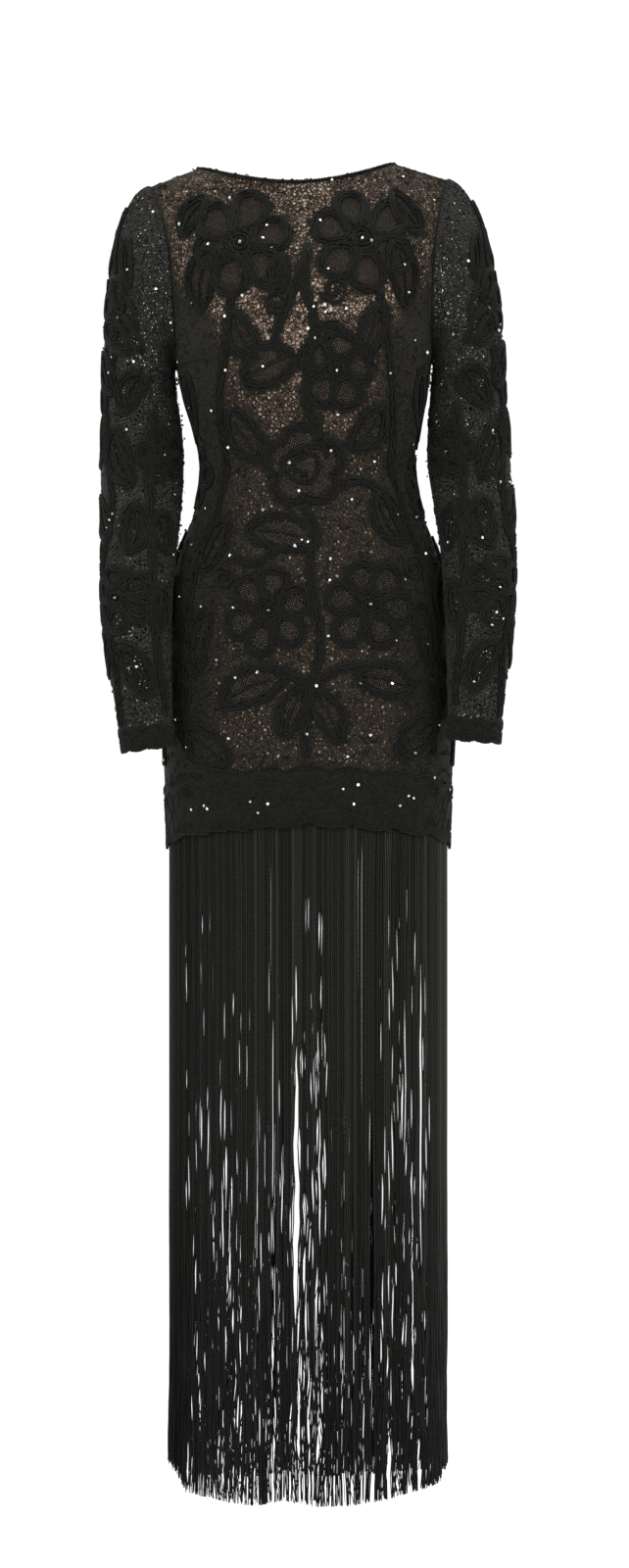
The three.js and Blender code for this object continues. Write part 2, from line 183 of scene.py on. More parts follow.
def bodice(face):
    """The front or back. across goes from the left as seen from outside, and rise from the hem, by 1 at
    the armpits, to 2 at the top."""
    def surface(across, rise):
        sideways = -face * across
        low = lower_point(face, sideways, mix(hem_z(sideways), ARMPIT_Z, np.minimum(rise, 1)))
        high = upper_point(face, sideways, np.clip(rise - 1, 0, 1))
        return np.where((rise <= 1)[..., None], low, high)
    return surface


def ring_point(side, around, z):
    x, y, wide, deep, lean = row_at(SLEEVE, z)
    return posed(side * (x - wide * np.cos(around)), y - deep * np.sin(around), z, lean, 1)


def sleeve(side):
    """A sleeve. turn goes once round it from the armpit, and climb from the cuff, by 1 where the arm hangs
    free, to 2 at the armhole."""
    def surface(turn, climb):
        around = np.mod(side * turn, TAU)
        cuff_z = CUFF_Z + CUFF_SLANT * np.cos(around)
        arm = ring_point(side, around, mix(cuff_z, SLEEVE_TOP_Z, np.minimum(climb, 1)))
        up = (1 - np.cos(around)) / 2
        by_front = (around < math.pi)[..., None]
        start = np.where(by_front, upper_point(FRONT, side, up), upper_point(BACK, side, up))
        start = start + np.array([side * SLEEVE_GAP, 0, SLEEVE_GAP / 2])
        end = ring_point(side, around, np.full(np.shape(around), SLEEVE_TOP_Z))
        reach = np.linalg.norm(start - end, axis=-1, keepdims=True)
        outward = unit(np.array([side, 0, -SHOULDER_FALL]))
        t = np.clip(climb - 1, 0, 1)[..., None]
        head = (1 - t) ** 3 * end + 3 * (1 - t) ** 2 * t * (end + reach * ARM_PULL * np.array([0, 0, 1]))
        head = head + 3 * (1 - t) * t**2 * (start + reach * SHOULDER_PULL * outward) + t**3 * start
        return np.where((climb <= 1)[..., None], arm, head)
    return surface


def with_outward(surface, u, v):
    """A surface's points and its outward directions at u and v."""
    along_u = surface(u + TINY, v) - surface(u - TINY, v)
    along_v = surface(u, v + TINY) - surface(u, v - TINY)
    return surface(u, v), unit(np.cross(along_u, along_v))


def fringe_point(face, across, z, inward):
    """A point of the fringe, which hangs from behind the lace's hem. inward is how deep in the rows."""
    hem = hem_z(across)
    rise = np.maximum(0, (z - hem) / (ARMPIT_Z - hem))
    point, outward = with_outward(bodice(face), across, rise)
    behind = point - outward * (LACE + LAYER_GAP + inward)[..., None]
    angle = across * math.pi / 2
    reach = FRINGE_FRONT if face == FRONT else FRINGE_BACK
    x = -face * (FRINGE_SIDE - inward) * np.sin(angle) * fullness(angle)
    y = face * ((reach - inward) * np.cos(angle) * fullness(angle) + SEAM_GAP / 2)
    free = posed(x, y, z, row_at(BODY, z)[3], 0)
    point = mix(behind, free, smooth((hem - z) / FRINGE_NARROWS)[..., None])
    point[..., 2] = z
    return point


# ---- Cloth laid out flat ----

# Soft creases: place across and up the cloth, direction in degrees, length, width and height in
# millimetres. A negative height is a trough.
FRONT_CREASES = [
    (-96, -318, 12, 70, 9, 1.5), (-104, -343, 4, 62, 8, -1.6), (-92, -371, -9, 66, 10, 1.3),
    (88, -312, -14, 64, 9, 1.6), (98, -338, -3, 70, 8, -1.4), (90, -366, 10, 60, 9, 1.4),
    (-30, -352, 3, 84, 10, 1.0), (34, -330, -5, 74, 9, -1.1), (-112, -196, 58, 66, 9, 1.6),
    (-121, -168, 66, 58, 8, -1.4), (116, -190, -60, 62, 9, 1.5), (124, -160, -68, 54, 8, -1.5),
    (-140, -452, 74, 84, 13, 1.2), (146, -470, -76, 90, 13, -1.3), (20, -548, 84, 110, 16, 1.1),
    (-64, -610, 96, 96, 15, -1.0), (78, -640, 88, 90, 14, 1.0),
]
BACK_CREASES = [
    (-84, -322, 9, 74, 9, 1.6), (-70, -349, -6, 80, 9, -1.7), (-88, -382, 5, 64, 10, 1.3),
    (80, -316, -8, 78, 9, 1.5), (74, -344, 7, 70, 8, -1.5), (92, -376, -4, 66, 10, 1.4),
    (-116, -188, 62, 60, 9, 1.5), (118, -182, -58, 64, 9, 1.4), (-52, -150, 78, 88, 12, -1.2),
    (50, -142, -80, 84, 12, 1.1), (-58, -596, 92, 100, 16, 1.2), (66, -622, 86, 104, 15, -1.1),
    (-134, -470, 72, 80, 13, 1.2), (138, -458, -70, 84, 12, 1.1),
]
# On a sleeve, across is measured from its outer line towards its back, and up from the cuff.
SLEEVE_CREASES = [
    (-62, 232, 24, 58, 7, 1.6), (-70, 252, 12, 62, 7, -1.9), (-58, 274, -4, 66, 8, 1.7),
    (-66, 298, -20, 56, 7, -1.5), (-30, 262, 8, 50, 8, 1.2), (44, 246, -14, 54, 9, 1.4),
    (52, 286, 10, 58, 9, -1.2), (-48, 118, 16, 44, 7, 1.1), (-40, 84, -8, 40, 6, -1.0),
    (-56, 52, 10, 38, 6, 1.1), (36, 96, 12, 44, 7, 1.1), (-64, 396, 34, 60, 8, 1.5),
    (-72, 420, 46, 54, 8, -1.4), (60, 404, -36, 58, 8, 1.3),
]


def crease_height(creases, s, t):
    """How far the cloth stands out at s across and t up it."""
    height = np.zeros(np.shape(s))
    for cs, ct, degrees, length, width, tall in creases:
        c, n = math.cos(math.radians(degrees)), math.sin(math.radians(degrees))
        along = (s - cs) * c + (t - ct) * n
        off = (t - ct) * c - (s - cs) * n - along**2 / (6 * length)
        height += tall * np.exp(-((off / width) ** 2) - (2 * along / length) ** 4)
    return height


SEARCH_STEPS, LONGEST_STEP, ON_PANEL = 9, 9, 0.6  # the last is in millimetres


class Cloth:
    """A panel sampled on a fine grid, with its flat layout: s across from its middle line and t up it."""

    def __init__(self, surface, acrosses, rises, creases, thickness=0, around=False):
        u, v = np.meshgrid(acrosses, rises, indexing="ij")
        self.point, self.outward = with_outward(surface, u, v)
        self.around = around
        middle = len(acrosses) // 2
        step_u = np.linalg.norm(np.diff(self.point, axis=0), axis=-1)
        step_v = np.linalg.norm(np.diff(self.point, axis=1), axis=-1)
        self.s = np.concatenate([np.zeros((1, len(rises))), np.cumsum(step_u, 0)])
        self.s = self.s - self.s[middle]
        up = np.concatenate([np.zeros((len(acrosses), 1)), np.cumsum(step_v, 1)], 1)
        self.t = np.broadcast_to(up[middle], up.shape).copy() if around else self.point[..., 2].copy()
        self.flat = np.stack([self.s, up if around else up + self.point[:, :1, 2]], -1)
        self.width = float(np.max(self.s.max(0) - self.s.min(0)))
        self.length = float(up.max())
        self.area = float((step_u[:, 1:] * step_v[1:]).sum())
        out = thickness + crease_height(creases, self.s, self.t)
        self.point = self.point + self.outward * out[..., None]
        self.slopes = [np.gradient(field, axis=axis) for field in (self.s, self.t) for axis in (0, 1)]

    def sample(self, field, i, j):
        i0 = np.clip(np.floor(i).astype(int), 0, field.shape[0] - 2)
        j0 = np.clip(np.floor(j).astype(int), 0, field.shape[1] - 2)
        a, b = i - i0, j - j0
        if field.ndim == 3:
            a, b = a[..., None], b[..., None]
        low = mix(field[i0, j0], field[i0 + 1, j0], a)
        return mix(low, mix(field[i0, j0 + 1], field[i0 + 1, j0 + 1], a), b)

    def locate(self, s, t):
        """The grid place of each flat place, and whether it is on the panel."""
        wide, high = self.s.shape
        middle = wide // 2
        j = np.interp(t, self.t[middle], np.arange(high))
        i = np.clip(middle + s / (self.width / (wide - 1)), 0, wide - 1)
        for _ in range(SEARCH_STEPS):
            off_s, off_t = self.sample(self.s, i, j) - s, self.sample(self.t, i, j) - t
            s_i, s_j, t_i, t_j = (self.sample(slope, i, j) for slope in self.slopes)
            flat = s_i * t_j - s_j * t_i
            flat = np.where(np.abs(flat) < 1e-6, 1e-6, flat)
            step_i, step_j = (np.clip(step / flat, -LONGEST_STEP, LONGEST_STEP)
                              for step in (off_s * t_j - off_t * s_j, off_t * s_i - off_s * t_i))
            i, j = np.clip(i - step_i, 0, wide - 1), np.clip(j - step_j, 0, high - 1)
        miss = np.hypot(self.sample(self.s, i, j) - s, self.sample(self.t, i, j) - t)
        return i, j, miss < ON_PANEL

    def place(self, s, t, lift):
        """Points, outward directions and whether each is on the panel, at s and t, lifted off the cloth."""
        i, j, on = self.locate(np.asarray(s, float), np.asarray(t, float))
        outward = unit(self.sample(self.outward, i, j))
        lift = np.broadcast_to(lift, np.shape(s))[..., None]
        return self.sample(self.point, i, j) + outward * lift, outward, on


# Columns of a cloth's grid, its rows up to the armpits and those above.
BODICE_GRID, SLEEVE_GRID = (101, 112, 60), (61, 86, 51)


def bodice_cloth(face, creases):
    columns, low, high = BODICE_GRID
    rises = [np.linspace(0, 1, low), 1 + (1 - np.cos(np.linspace(0, math.pi, high)))[1:] / 2]
    return Cloth(bodice(face), np.linspace(-1, 1, columns), np.concatenate(rises), creases)


def sleeve_cloth(side):
    columns, low, high = SLEEVE_GRID
    climbs = np.concatenate([np.linspace(0, 1, low), np.linspace(1, 2, high)[1:]])
    creases = [(s * side, t, d if side > 0 else 180 - d, *rest) for s, t, d, *rest in SLEEVE_CREASES]
    return Cloth(sleeve(side), np.linspace(0, TAU, columns), climbs, creases, LACE, True)


# ---- Meshes ----


def build_object(name, points, faces, uvs, material, smooth_faces=True):
    """An object from points in millimetres and arrays of quads or triangles, each with a UV per corner."""
    mesh = bpy.data.meshes.new(name)
    mesh.vertices.add(len(points))
    mesh.vertices.foreach_set("co", (np.asarray(points) * MM).ravel().astype(np.float32))
    corners = np.concatenate([f.ravel() for f in faces]).astype(np.int32)
    sizes = np.concatenate([np.full(len(f), f.shape[1]) for f in faces])
    mesh.loops.add(len(corners))
    mesh.loops.foreach_set("vertex_index", corners)
    mesh.polygons.add(len(sizes))
    starts = np.concatenate([[0], np.cumsum(sizes)[:-1]]).astype(np.int32)
    mesh.polygons.foreach_set("loop_start", starts)
    mesh.update(calc_edges=True)
    layer = mesh.uv_layers.new(name="flat")
    layer.uv.foreach_set("vector", np.concatenate([u.reshape(-1, 2) for u in uvs]).ravel().astype(np.float32))
    mesh.polygons.foreach_set("use_smooth", np.full(len(sizes), smooth_faces))
    mesh.materials.append(material)
    mesh.validate()
    obj = bpy.data.objects.new(name, mesh)
    bpy.context.scene.collection.objects.link(obj)
    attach(obj, "root")
    return obj


class Cords:
    """Tubes of cord and thread, gathered to be joined as one mesh."""

    def __init__(self, sides):
        self.sides = sides
        self.points, self.faces, self.uvs, self.caps, self.count = [], [], [], [], 0

    def add(self, paths, outward, radius, closed=False):
        """Tubes along one path or an array of paths, with one direction outward or one for each point."""
        paths = paths.reshape(-1, *paths.shape[-2:])
        tubes, length, n = len(paths), paths.shape[1], self.sides
        if closed:
            along = unit(np.roll(paths, -1, 1) - np.roll(paths, 1, 1))
        else:
            along = unit(np.gradient(paths, axis=1))
        aside = unit(np.cross(along, outward))
        up = np.cross(aside, along)
        radius = np.broadcast_to(radius, (tubes, length))[..., None, None]
        angle = np.arange(n) * TAU / n
        spoke = np.cos(angle)[:, None] * aside[:, :, None] + np.sin(angle)[:, None] * up[:, :, None]
        points = paths[:, :, None] + radius * spoke
        number = self.count + np.arange(tubes * length * n).reshape(tubes, length, n)
        beside = np.roll(number, -1, 2)
        here = np.arange(length if closed else length - 1)
        following = (here + 1) % length
        face = [number[:, here], number[:, following], beside[:, following], beside[:, here]]
        self.faces.append(np.stack(face, -1).reshape(-1, 4))
        run = np.linalg.norm(np.diff(paths, axis=1), axis=-1)
        run = np.concatenate([np.zeros((tubes, 1)), np.cumsum(run, 1)], 1)
        start = run[:, here][..., None] * MM
        stop = (run[:, here] + np.linalg.norm(paths[:, following] - paths[:, here], axis=-1))[..., None] * MM
        k = np.arange(n)
        corners = [(start, k / n), (stop, k / n), (stop, (k + 1) / n), (start, (k + 1) / n)]
        corners = [np.stack(np.broadcast_arrays(*corner), -1) for corner in corners]
        self.uvs.append(np.stack(corners, -2).reshape(-1, 4, 2))
        if not closed:
            self.caps += [number[:, 0], number[:, -1, ::-1]]
        self.points.append(points.reshape(-1, 3))
        self.count += tubes * length * n

    def join(self, name, material):
        faces, uvs = [np.concatenate(self.faces)], [np.concatenate(self.uvs)]
        if self.caps:
            faces.append(np.concatenate(self.caps))
            uvs.append(np.zeros((*faces[1].shape, 2)))
        return build_object(name, np.concatenate(self.points), faces, uvs, material)


def quads(grid):
    """The four corners of each cell of a grid, of point numbers or of UVs."""
    corners = grid[:-1, :-1], grid[1:, :-1], grid[1:, 1:], grid[:-1, 1:]
    return np.stack(corners, 2).reshape(-1, 4, *grid.shape[2:])


def shell(name, cloth, material, columns, rows, outer, inner, shift, edge=None):
    """A wall of cloth between two distances from the panel's surface, over part of its grid."""
    i, j = np.meshgrid(columns, rows, indexing="ij")
    point, outward = cloth.point[i, j], cloth.outward[i, j]
    if edge is not None:
        point = edge(point, i, j)
    point[..., 0] += shift
    wide, high = i.shape
    ring = wide - 1 if cloth.around else wide
    points = np.concatenate([(point[:ring] + outward[:ring] * out).reshape(-1, 3) for out in (outer, inner)])
    number = (np.arange(wide) % ring)[:, None] * high + np.arange(high)
    under = number + ring * high
    flat = cloth.flat[i, j] * MM
    faces, uvs = [quads(number), quads(under)[:, ::-1]], [quads(flat), quads(flat)[:, ::-1]]
    whole, backwards = slice(None), slice(None, None, -1)
    rims = [(whole, 0), (backwards, -1)] + ([] if cloth.around else [(0, backwards), (-1, whole)])
    for rim in rims:
        faces.append(quads(np.stack([number[rim], under[rim]])))
        uvs.append(quads(np.stack([flat[rim], flat[rim]])))
    return build_object(name, points, faces, uvs, material)


# ---- Finishes ----


def sum_of(operation, swapped=False):
    """An operator between values, which adds a Math node."""
    def method(self, other):
        return self.finish.sum(operation, *((other, self) if swapped else (self, other)))
    return method


class Value:
    """A socket in a finish's sums."""

    def __init__(self, finish, socket):
        self.finish, self.socket = finish, socket

    __add__ = __radd__ = sum_of("ADD")
    __mul__ = __rmul__ = sum_of("MULTIPLY")
    __sub__, __rsub__ = sum_of("SUBTRACT"), sum_of("SUBTRACT", swapped=True)
    __lt__ = sum_of("LESS_THAN")


class Finish:
    """A material whose nodes are added one after another."""

    def __init__(self, name):
        self.material = bpy.data.materials.new(name)
        self.material.use_nodes = True
        self.tree = self.material.node_tree
        self.tree.nodes.clear()

    def add(self, kind, settings, inputs, output=0):
        """A node of a kind, with its settings and the values or links of its sockets."""
        node = self.tree.nodes.new("ShaderNode" + kind)
        for key, value in settings.items():
            setattr(node, key, value)
        for key, value in inputs.items():
            if isinstance(value, Value):
                self.tree.links.new(value.socket, node.inputs[key])
            else:
                node.inputs[key].default_value = value
        return None if output is None else Value(self, node.outputs[output])

    def sum(self, operation, *terms):
        return self.add("Math", {"operation": operation}, dict(enumerate(terms)))

    def flat(self):
        return self.add("UVMap", {"uv_map": "flat"}, {})

    def place(self):
        return self.add("TexCoord", {}, {}, output=3)

    def share(self, name):
        return self.add("Attribute", {"attribute_name": name}, {}, output=2)

    def parts(self, vector):
        node = self.add("SeparateXYZ", {}, {0: vector}).socket.node
        return [Value(self, output) for output in node.outputs]

    def scaled(self, vector, across, up, turn=0.0):
        return self.add("Mapping", {}, {"Vector": vector, "Scale": (across, up, 1), "Rotation": (0, 0, turn)})

    def noise(self, vector, scale, detail=2.0, roughness=0.5, output=0):
        return self.add("TexNoise", {}, {"Vector": vector, "Scale": scale, "Detail": detail,
                                         "Roughness": roughness}, output)

    def cells(self, vector, scale):
        return self.add("TexVoronoi", {"feature": "DISTANCE_TO_EDGE"}, {"Vector": vector, "Scale": scale})

    def wave(self, value):
        return self.sum("SINE", value)

    def weave(self, vector, scale):
        """Threads crossing at right angles."""
        across, up, _ = self.parts(vector)
        return self.wave(across * scale) * self.wave(up * scale)

    def ease(self, value, low, high):
        return self.add("MapRange", {"interpolation_type": "SMOOTHSTEP"},
                        {"Value": value, "From Min": low, "From Max": high})

    def blend(self, share, first, second):
        ends = {k: (*end, 1) if isinstance(end, tuple) else end for k, end in ((6, first), (7, second))}
        return self.add("Mix", {"data_type": "RGBA"}, {0: share, **ends}, output=2)

    def bump(self, height, strength, distance):
        return self.add("Bump", {}, {"Height": height, "Strength": strength, "Distance": distance})

    def surface(self, **sockets):
        names = {key.replace("_", " "): value for key, value in sockets.items()}
        shader = self.add("BsdfPrincipled", {}, names)
        self.add("OutputMaterial", {}, {"Surface": shader}, output=None)
        return self.material


def toned(colour, *shares):
    """A colour times a share, or times one share for each of its parts."""
    return tuple(c * k for c, k in zip(colour, shares * 3 if len(shares) == 1 else shares))


def lace_finish(name, colour, airy_colour, openness):
    """Corded openwork: a ground of crossed bars, and a fine square net where the panel's net share says so.
    It takes the airy colour where it is openly worked. Both colours are lighter on raised places and fuzz
    specks and darker towards the middles of the cells: painted relief shade and painted highlights."""
    f = Finish(name)
    flat, share, solid = f.flat(), f.share("net"), f.share("solid")
    warp = f.add("VectorMath", {"operation": "SCALE"},
                 {0: f.noise(flat, 160.0, 1.0, output=1), "Scale": 0.0035})
    bent = f.add("VectorMath", {"operation": "ADD"}, {0: flat, 1: warp})
    gap = f.sum("MINIMUM", f.cells(f.scaled(bent, 1.0, 0.72), 310.0),
                f.cells(f.scaled(bent, 0.72, 1.0, 0.8), 280.0))
    patch = f.noise(flat, 55.0)
    ground = f.ease(gap + (patch - 0.5) * 0.14 - solid * 0.32, 0.16 - openness, 0.19 - openness)
    net_height = f.sum("ABSOLUTE", f.weave(f.scaled(flat, 1.0, 1.0, 0.35), 1350.0))
    net = f.ease(net_height, 0.64, 0.75)
    hole = (ground * (1.0 - share) + net * share) * (solid < 0.95)
    grain, lump, fuzz_highlight = f.noise(flat, 900.0, 3.0, 0.7), f.noise(flat, 260.0), f.noise(flat, 520.0, 2.0, 0.6)
    height = (1.0 - gap) * 0.7 + grain * 0.45 + lump * 0.5 - net_height * share * 0.8
    # Painted relief shade and highlight: lighter on raised places and fuzz specks, darker towards the middles
    # of the cells, where the depth of the holes would be in shade.
    raised = f.ease(fuzz_highlight + (lump - 0.5) * 0.5 - f.ease(gap, 0.1, 0.3) * 0.12, 0.4, 0.66)
    close = f.blend(raised, toned(colour, 0.3), toned(colour, 1.6))
    airy = f.blend(raised, toned(colour, 0.4), airy_colour)
    tone = f.blend(f.ease(solid + share * 0.28, 0.12, 0.6), airy, close)
    return f.surface(Base_Color=tone, Roughness=f.ease(grain, 0.1, 1.0) * 0.2 + 0.75, Alpha=1.0 - hole,
                     Normal=f.bump(height, 0.9, 0.0012), Specular_IOR_Level=0.12, Sheen_Weight=0.02,
                     Sheen_Roughness=0.6)


def cord_finish(name, colour, twist, roughness, sheen):
    """Plied cord, with its twist running along it and a little fluff. Its colour goes lighter and darker in
    specks and along the plies: partly random tone, partly painted relief shade and highlight.
    """
    f = Finish(name)
    along, around, _ = f.parts(f.flat())
    ply = f.wave(along * twist + around * TAU * 2)
    place = f.place()
    fluff, patch = f.noise(place, 1500.0, 3.0, 0.7), f.noise(place, 430.0, 2.0, 0.6)
    # Painted relief shade and highlight, with random tone: lighter specks and ply crests, darker between
    # them.
    share = f.ease(patch + ply * 0.08 + (fluff - 0.5) * 0.25, 0.36, 0.68)
    tone = f.blend(share, toned(colour, 0.4), toned(colour, 1.9))
    return f.surface(Base_Color=tone, Roughness=fluff * 0.2 + (roughness - 0.1),
                     Normal=f.bump(ply * 0.5 + fluff * 0.6, 0.8, 0.0007), Specular_IOR_Level=0.12,
                     Sheen_Weight=sheen, Sheen_Roughness=0.45)


def lining_finish(name, colour):
    """A smooth plain-woven lining with a soft lustre."""
    f = Finish(name)
    flat = f.flat()
    weave = f.weave(flat, 9000.0)
    cloud, slub = f.noise(flat, 14.0), f.noise(f.scaled(flat, 40.0, 900.0), 1.0)
    tone = f.blend(f.ease(cloud * 0.7 + slub * 0.3 + weave * 0.08, 0.3, 0.7), toned(colour, 0.8), colour)
    return f.surface(Base_Color=tone, Roughness=0.42 + slub * 0.15, Normal=f.bump(weave + slub, 0.25, 0.0003),
                     Specular_IOR_Level=0.35, Sheen_Weight=0.1)


def thread_finish(name, colour):
    """Twisted fringe thread: charcoal with a faint painted sheen above, brightest on some threads, and duller
    and darker towards its ends.
    """
    f = Finish(name)
    along, around, _ = f.parts(f.flat())
    strand = f.share("strand")
    twist = f.wave(along * 2400.0 + around * TAU)
    fall = f.ease(f.parts(f.place())[2], -1.38, -0.9)
    # Painted sheen: threads with a high strand share are lightened up to five times over, less so towards the
    # ends.
    lustre = f.ease(strand * strand + twist * 0.06, 0.0, 1.2) * (0.3 + fall * 0.7)
    tone = f.blend(lustre, f.blend(fall, toned(colour, 0.3), toned(colour, 0.75)), toned(colour, 5.2))
    return f.surface(Base_Color=tone, Roughness=0.8 - fall * 0.25 - strand * 0.1,
                     Normal=f.bump(twist, 0.6, 0.0004), Specular_IOR_Level=0.15, Sheen_Weight=0.02)


def sequin_finish(name, colour):
    """Clear faceted sequins, backed in silver and scuffed."""
    f = Finish(name)
    place = f.place()
    scuff, patch = f.noise(place, 1200.0), f.noise(place, 140.0, 1.0)
    tone = f.blend(f.ease(patch, 0.35, 0.65), toned(colour, 0.55), colour)
    return f.surface(Base_Color=tone, Metallic=0.85, Roughness=scuff * 0.25 + 0.06,
                     Normal=f.bump(scuff, 0.15, 0.0002), Coat_Weight=0.4)


def floor_finish(name, colour):
    f = Finish(name)
    cloud = f.noise(f.place(), 1.4)
    return f.surface(Base_Color=f.blend(cloud, toned(colour, 0.985), colour), Roughness=cloud * 0.1 + 0.75)


FINISHES = {}
AIRY_BROWN, AIRY_GREY = (4.4, 3.25, 3.1), (3.3, 3.6, 5.0)  # openly worked lace, over the lining with its brown, and alone on a sleeve with painted grey-blue shade, as of a pale arm in shade behind the holes


def finish(name):
    """A finish by name, made when it is first asked for."""
    if name not in FINISHES:
        look = bpy.context.scene.gown_look
        lace, cord, lining, thread, sequin = (
            tuple(getattr(look, part + "_colour")) for part in ("lace", "cord", "lining", "fringe", "sequin"))
        maker, *values = {
            "lined_lace": (lace_finish, lace, toned(lace, *AIRY_BROWN), look.lace_openness + 0.02),
            # Painted shade: the sleeves' open lace is tinted grey-blue, as of a pale arm in shade seen
            # through it.
            "sleeve_lace": (lace_finish, lace, toned(lace, *AIRY_GREY), look.lace_openness + 0.02),
            "border_lace": (lace_finish, cord, lace, look.lace_openness),
            "ground_cord": (cord_finish, lace, 5200.0, 0.85, 0.02),
            "couched_cord": (cord_finish, cord, 3600.0, 0.8, 0.03),
            "lining": (lining_finish, lining),
            "fringe_thread": (thread_finish, thread),
            "sequins": (sequin_finish, sequin),
            "studio_floor": (floor_finish, (0.97, 0.97, 0.97)),
        }[name]
        FINISHES[name] = maker(name, *values)
    return FINISHES[name]


# ---- Corded motifs, drawn on the flat ----


PETAL_BLUNT, LEAF_POINT = 0.45, 0.35  # how round a petal is at its heart, and how pointed a leaf is


def ring(turns, count, size=1.0, hand=1):
    """Points round a circle or a spiral: size is one radius or one for each point, and hand -1 mirrors it."""
    a = np.linspace(0, turns * TAU, count)
    return np.stack([np.cos(a), hand * np.sin(a)], -1) * np.reshape(size, (-1, 1))


def turned(points, degrees, centre=(0.0, 0.0)):
    c, s = math.cos(math.radians(degrees)), math.sin(math.radians(degrees))
    return points @ np.array([[c, s], [-s, c]]) + np.asarray(centre, float)


def spline(points, pitch=3.0):
    """A smooth line through points, sampled at an even pitch."""
    points = np.asarray(points, float)
    p = np.concatenate([2 * points[:1] - points[1:2], points, 2 * points[-1:] - points[-2:-1]])
    t = np.linspace(0, 1, 12, endpoint=False)[:, None]
    runs = [0.5 * (2 * b + (c - a) * t + (2 * a - 5 * b + 4 * c - d) * t**2 + (3 * b - a - 3 * c + d) * t**3)
            for a, b, c, d in zip(p[:-3], p[1:-2], p[2:-1], p[3:])]
    return evenly(np.concatenate([*runs, p[-2:-1]]), pitch)


def run_along(line):
    """How far along a line of points each of them lies."""
    return np.concatenate([[0], np.cumsum(np.linalg.norm(np.diff(line, axis=0), axis=1))])


def points_at(line, places):
    """Points at places along a line, from 0 at its start to 1 at its end."""
    run = run_along(line)
    return np.stack([np.interp(places * run[-1], run, column) for column in line.T], -1)


def evenly(line, pitch):
    return points_at(line, np.linspace(0, 1, max(3, int(round(run_along(line)[-1] / pitch)) + 1)))


def beside(line, offset):
    """A line moved to its left by offset."""
    along = unit(np.gradient(line, axis=0))
    return line + offset * np.stack([-along[:, 1], along[:, 0]], -1)


def petal_line(length, width):
    a = np.linspace(0, TAU, 30)
    swell = (1 - np.cos(a)) / 2
    return np.stack([length * swell, width / 2 * np.sin(a) * (1 - PETAL_BLUNT + PETAL_BLUNT * swell)], -1)


def leaf_line(length, width, bend):
    a = np.linspace(0, TAU, 34)
    x = length / 2 * np.cos(a)
    y = width / 2 * np.sin(a) * np.abs(np.sin(a)) ** LEAF_POINT
    return np.stack([x, y + bend * (1 - (2 * x / length) ** 2)], -1)


CORD_GAP, STITCH, CORD_WANDER = 2.8, 3.9, 0.6  # between rows, along a row, and how far a stitch may stray
SIZE_VARIES = 0.08


class Drawing:
    """The cords, netted places and sequin places of one panel."""

    def __init__(self, seed):
        self.random = np.random.default_rng(seed)
        self.cords, self.nets, self.solids, self.sequins = [], [], [], []

    def vary(self, value):
        return value * (1 + self.random.uniform(-SIZE_VARIES, SIZE_VARIES))

    def cord(self, line, rows=3, lift=0.7):
        """Cords couched side by side along a line, the middle one highest."""
        line = evenly(line, STITCH)
        for row in range(rows):
            aside = row - (rows - 1) / 2
            wander = self.random.normal(0, CORD_WANDER, (len(line), 2))
            height = lift + 0.5 * (rows > 2) * (1 - min(1, abs(aside))) + self.random.uniform(-0.15, 0.25)
            self.cords.append((beside(line, aside * CORD_GAP) + wander, height))
        self.solids.append((line, rows * CORD_GAP / 2 + 0.6))

    def netted(self, outline):
        self.cord(outline)
        self.nets.append(outline)

    def flower(self, s, t, size, degrees, petals):
        """Nearly round netted petals about a knot of coiled cord."""
        for k in range(petals):
            angle = degrees + 360 * k / petals + self.random.uniform(-6, 6)
            start = turned(np.array([[size * 0.25, 0.0]]), angle, (s, t))[0]
            petal = petal_line(self.vary(size * 0.7), self.vary(size * 4.5 / petals))
            self.netted(turned(petal, angle, start))
        coil = ring(3.2, 52, size * 0.24 * np.linspace(0, 1, 52))
        self.cord(coil + (s, t), 1, lift=1.2)
        self.sequins.append((s, t))

    def leaf(self, s, t, length, width, degrees, bend=0.1):
        """A netted leaf with a vein."""
        outline = leaf_line(self.vary(length), self.vary(width), bend * width)
        self.netted(turned(outline, degrees, (s, t)))
        x = np.linspace(-0.42, 0.3, 6)
        y = bend * width * (1 - (2 * x) ** 2)
        self.cord(turned(np.stack([x * length, y], -1), degrees, (s, t)), 1)

    def rose(self, s, t, size, degrees):
        """Five short petals round a loosely wound heart."""
        for k in range(5):
            a = np.radians(np.linspace(-34, 34, 15) + degrees + 72 * k)
            reach = size * (0.8 + 0.26 * np.cos(np.linspace(-1.5, 1.5, 15)))
            self.cord(np.stack([np.cos(a), np.sin(a)], -1) * reach[:, None] + (s, t))
        a = np.linspace(0, 1.75 * TAU, 60)
        reach = size * (0.66 - 0.46 * a / a[-1]) * (1 + 0.1 * np.sin(3 * a))
        self.cord(turned(np.stack([np.cos(a), np.sin(a) * 0.86], -1) * reach[:, None], degrees, (s, t)), 2)
        self.nets.append(ring(1, 24, size * 0.9) + (s, t))

    def scroll(self, s, t, size, degrees, hand=1):
        """A stem's end curled into a spiral."""
        line = ring(1.6, 36, size * (1 - 0.78 * np.linspace(0, 1, 36)), hand)
        self.cord(turned(line, degrees, (s, t)), 1)


DRAW = {"flower": Drawing.flower, "leaf": Drawing.leaf, "rose": Drawing.rose, "scroll": Drawing.scroll}

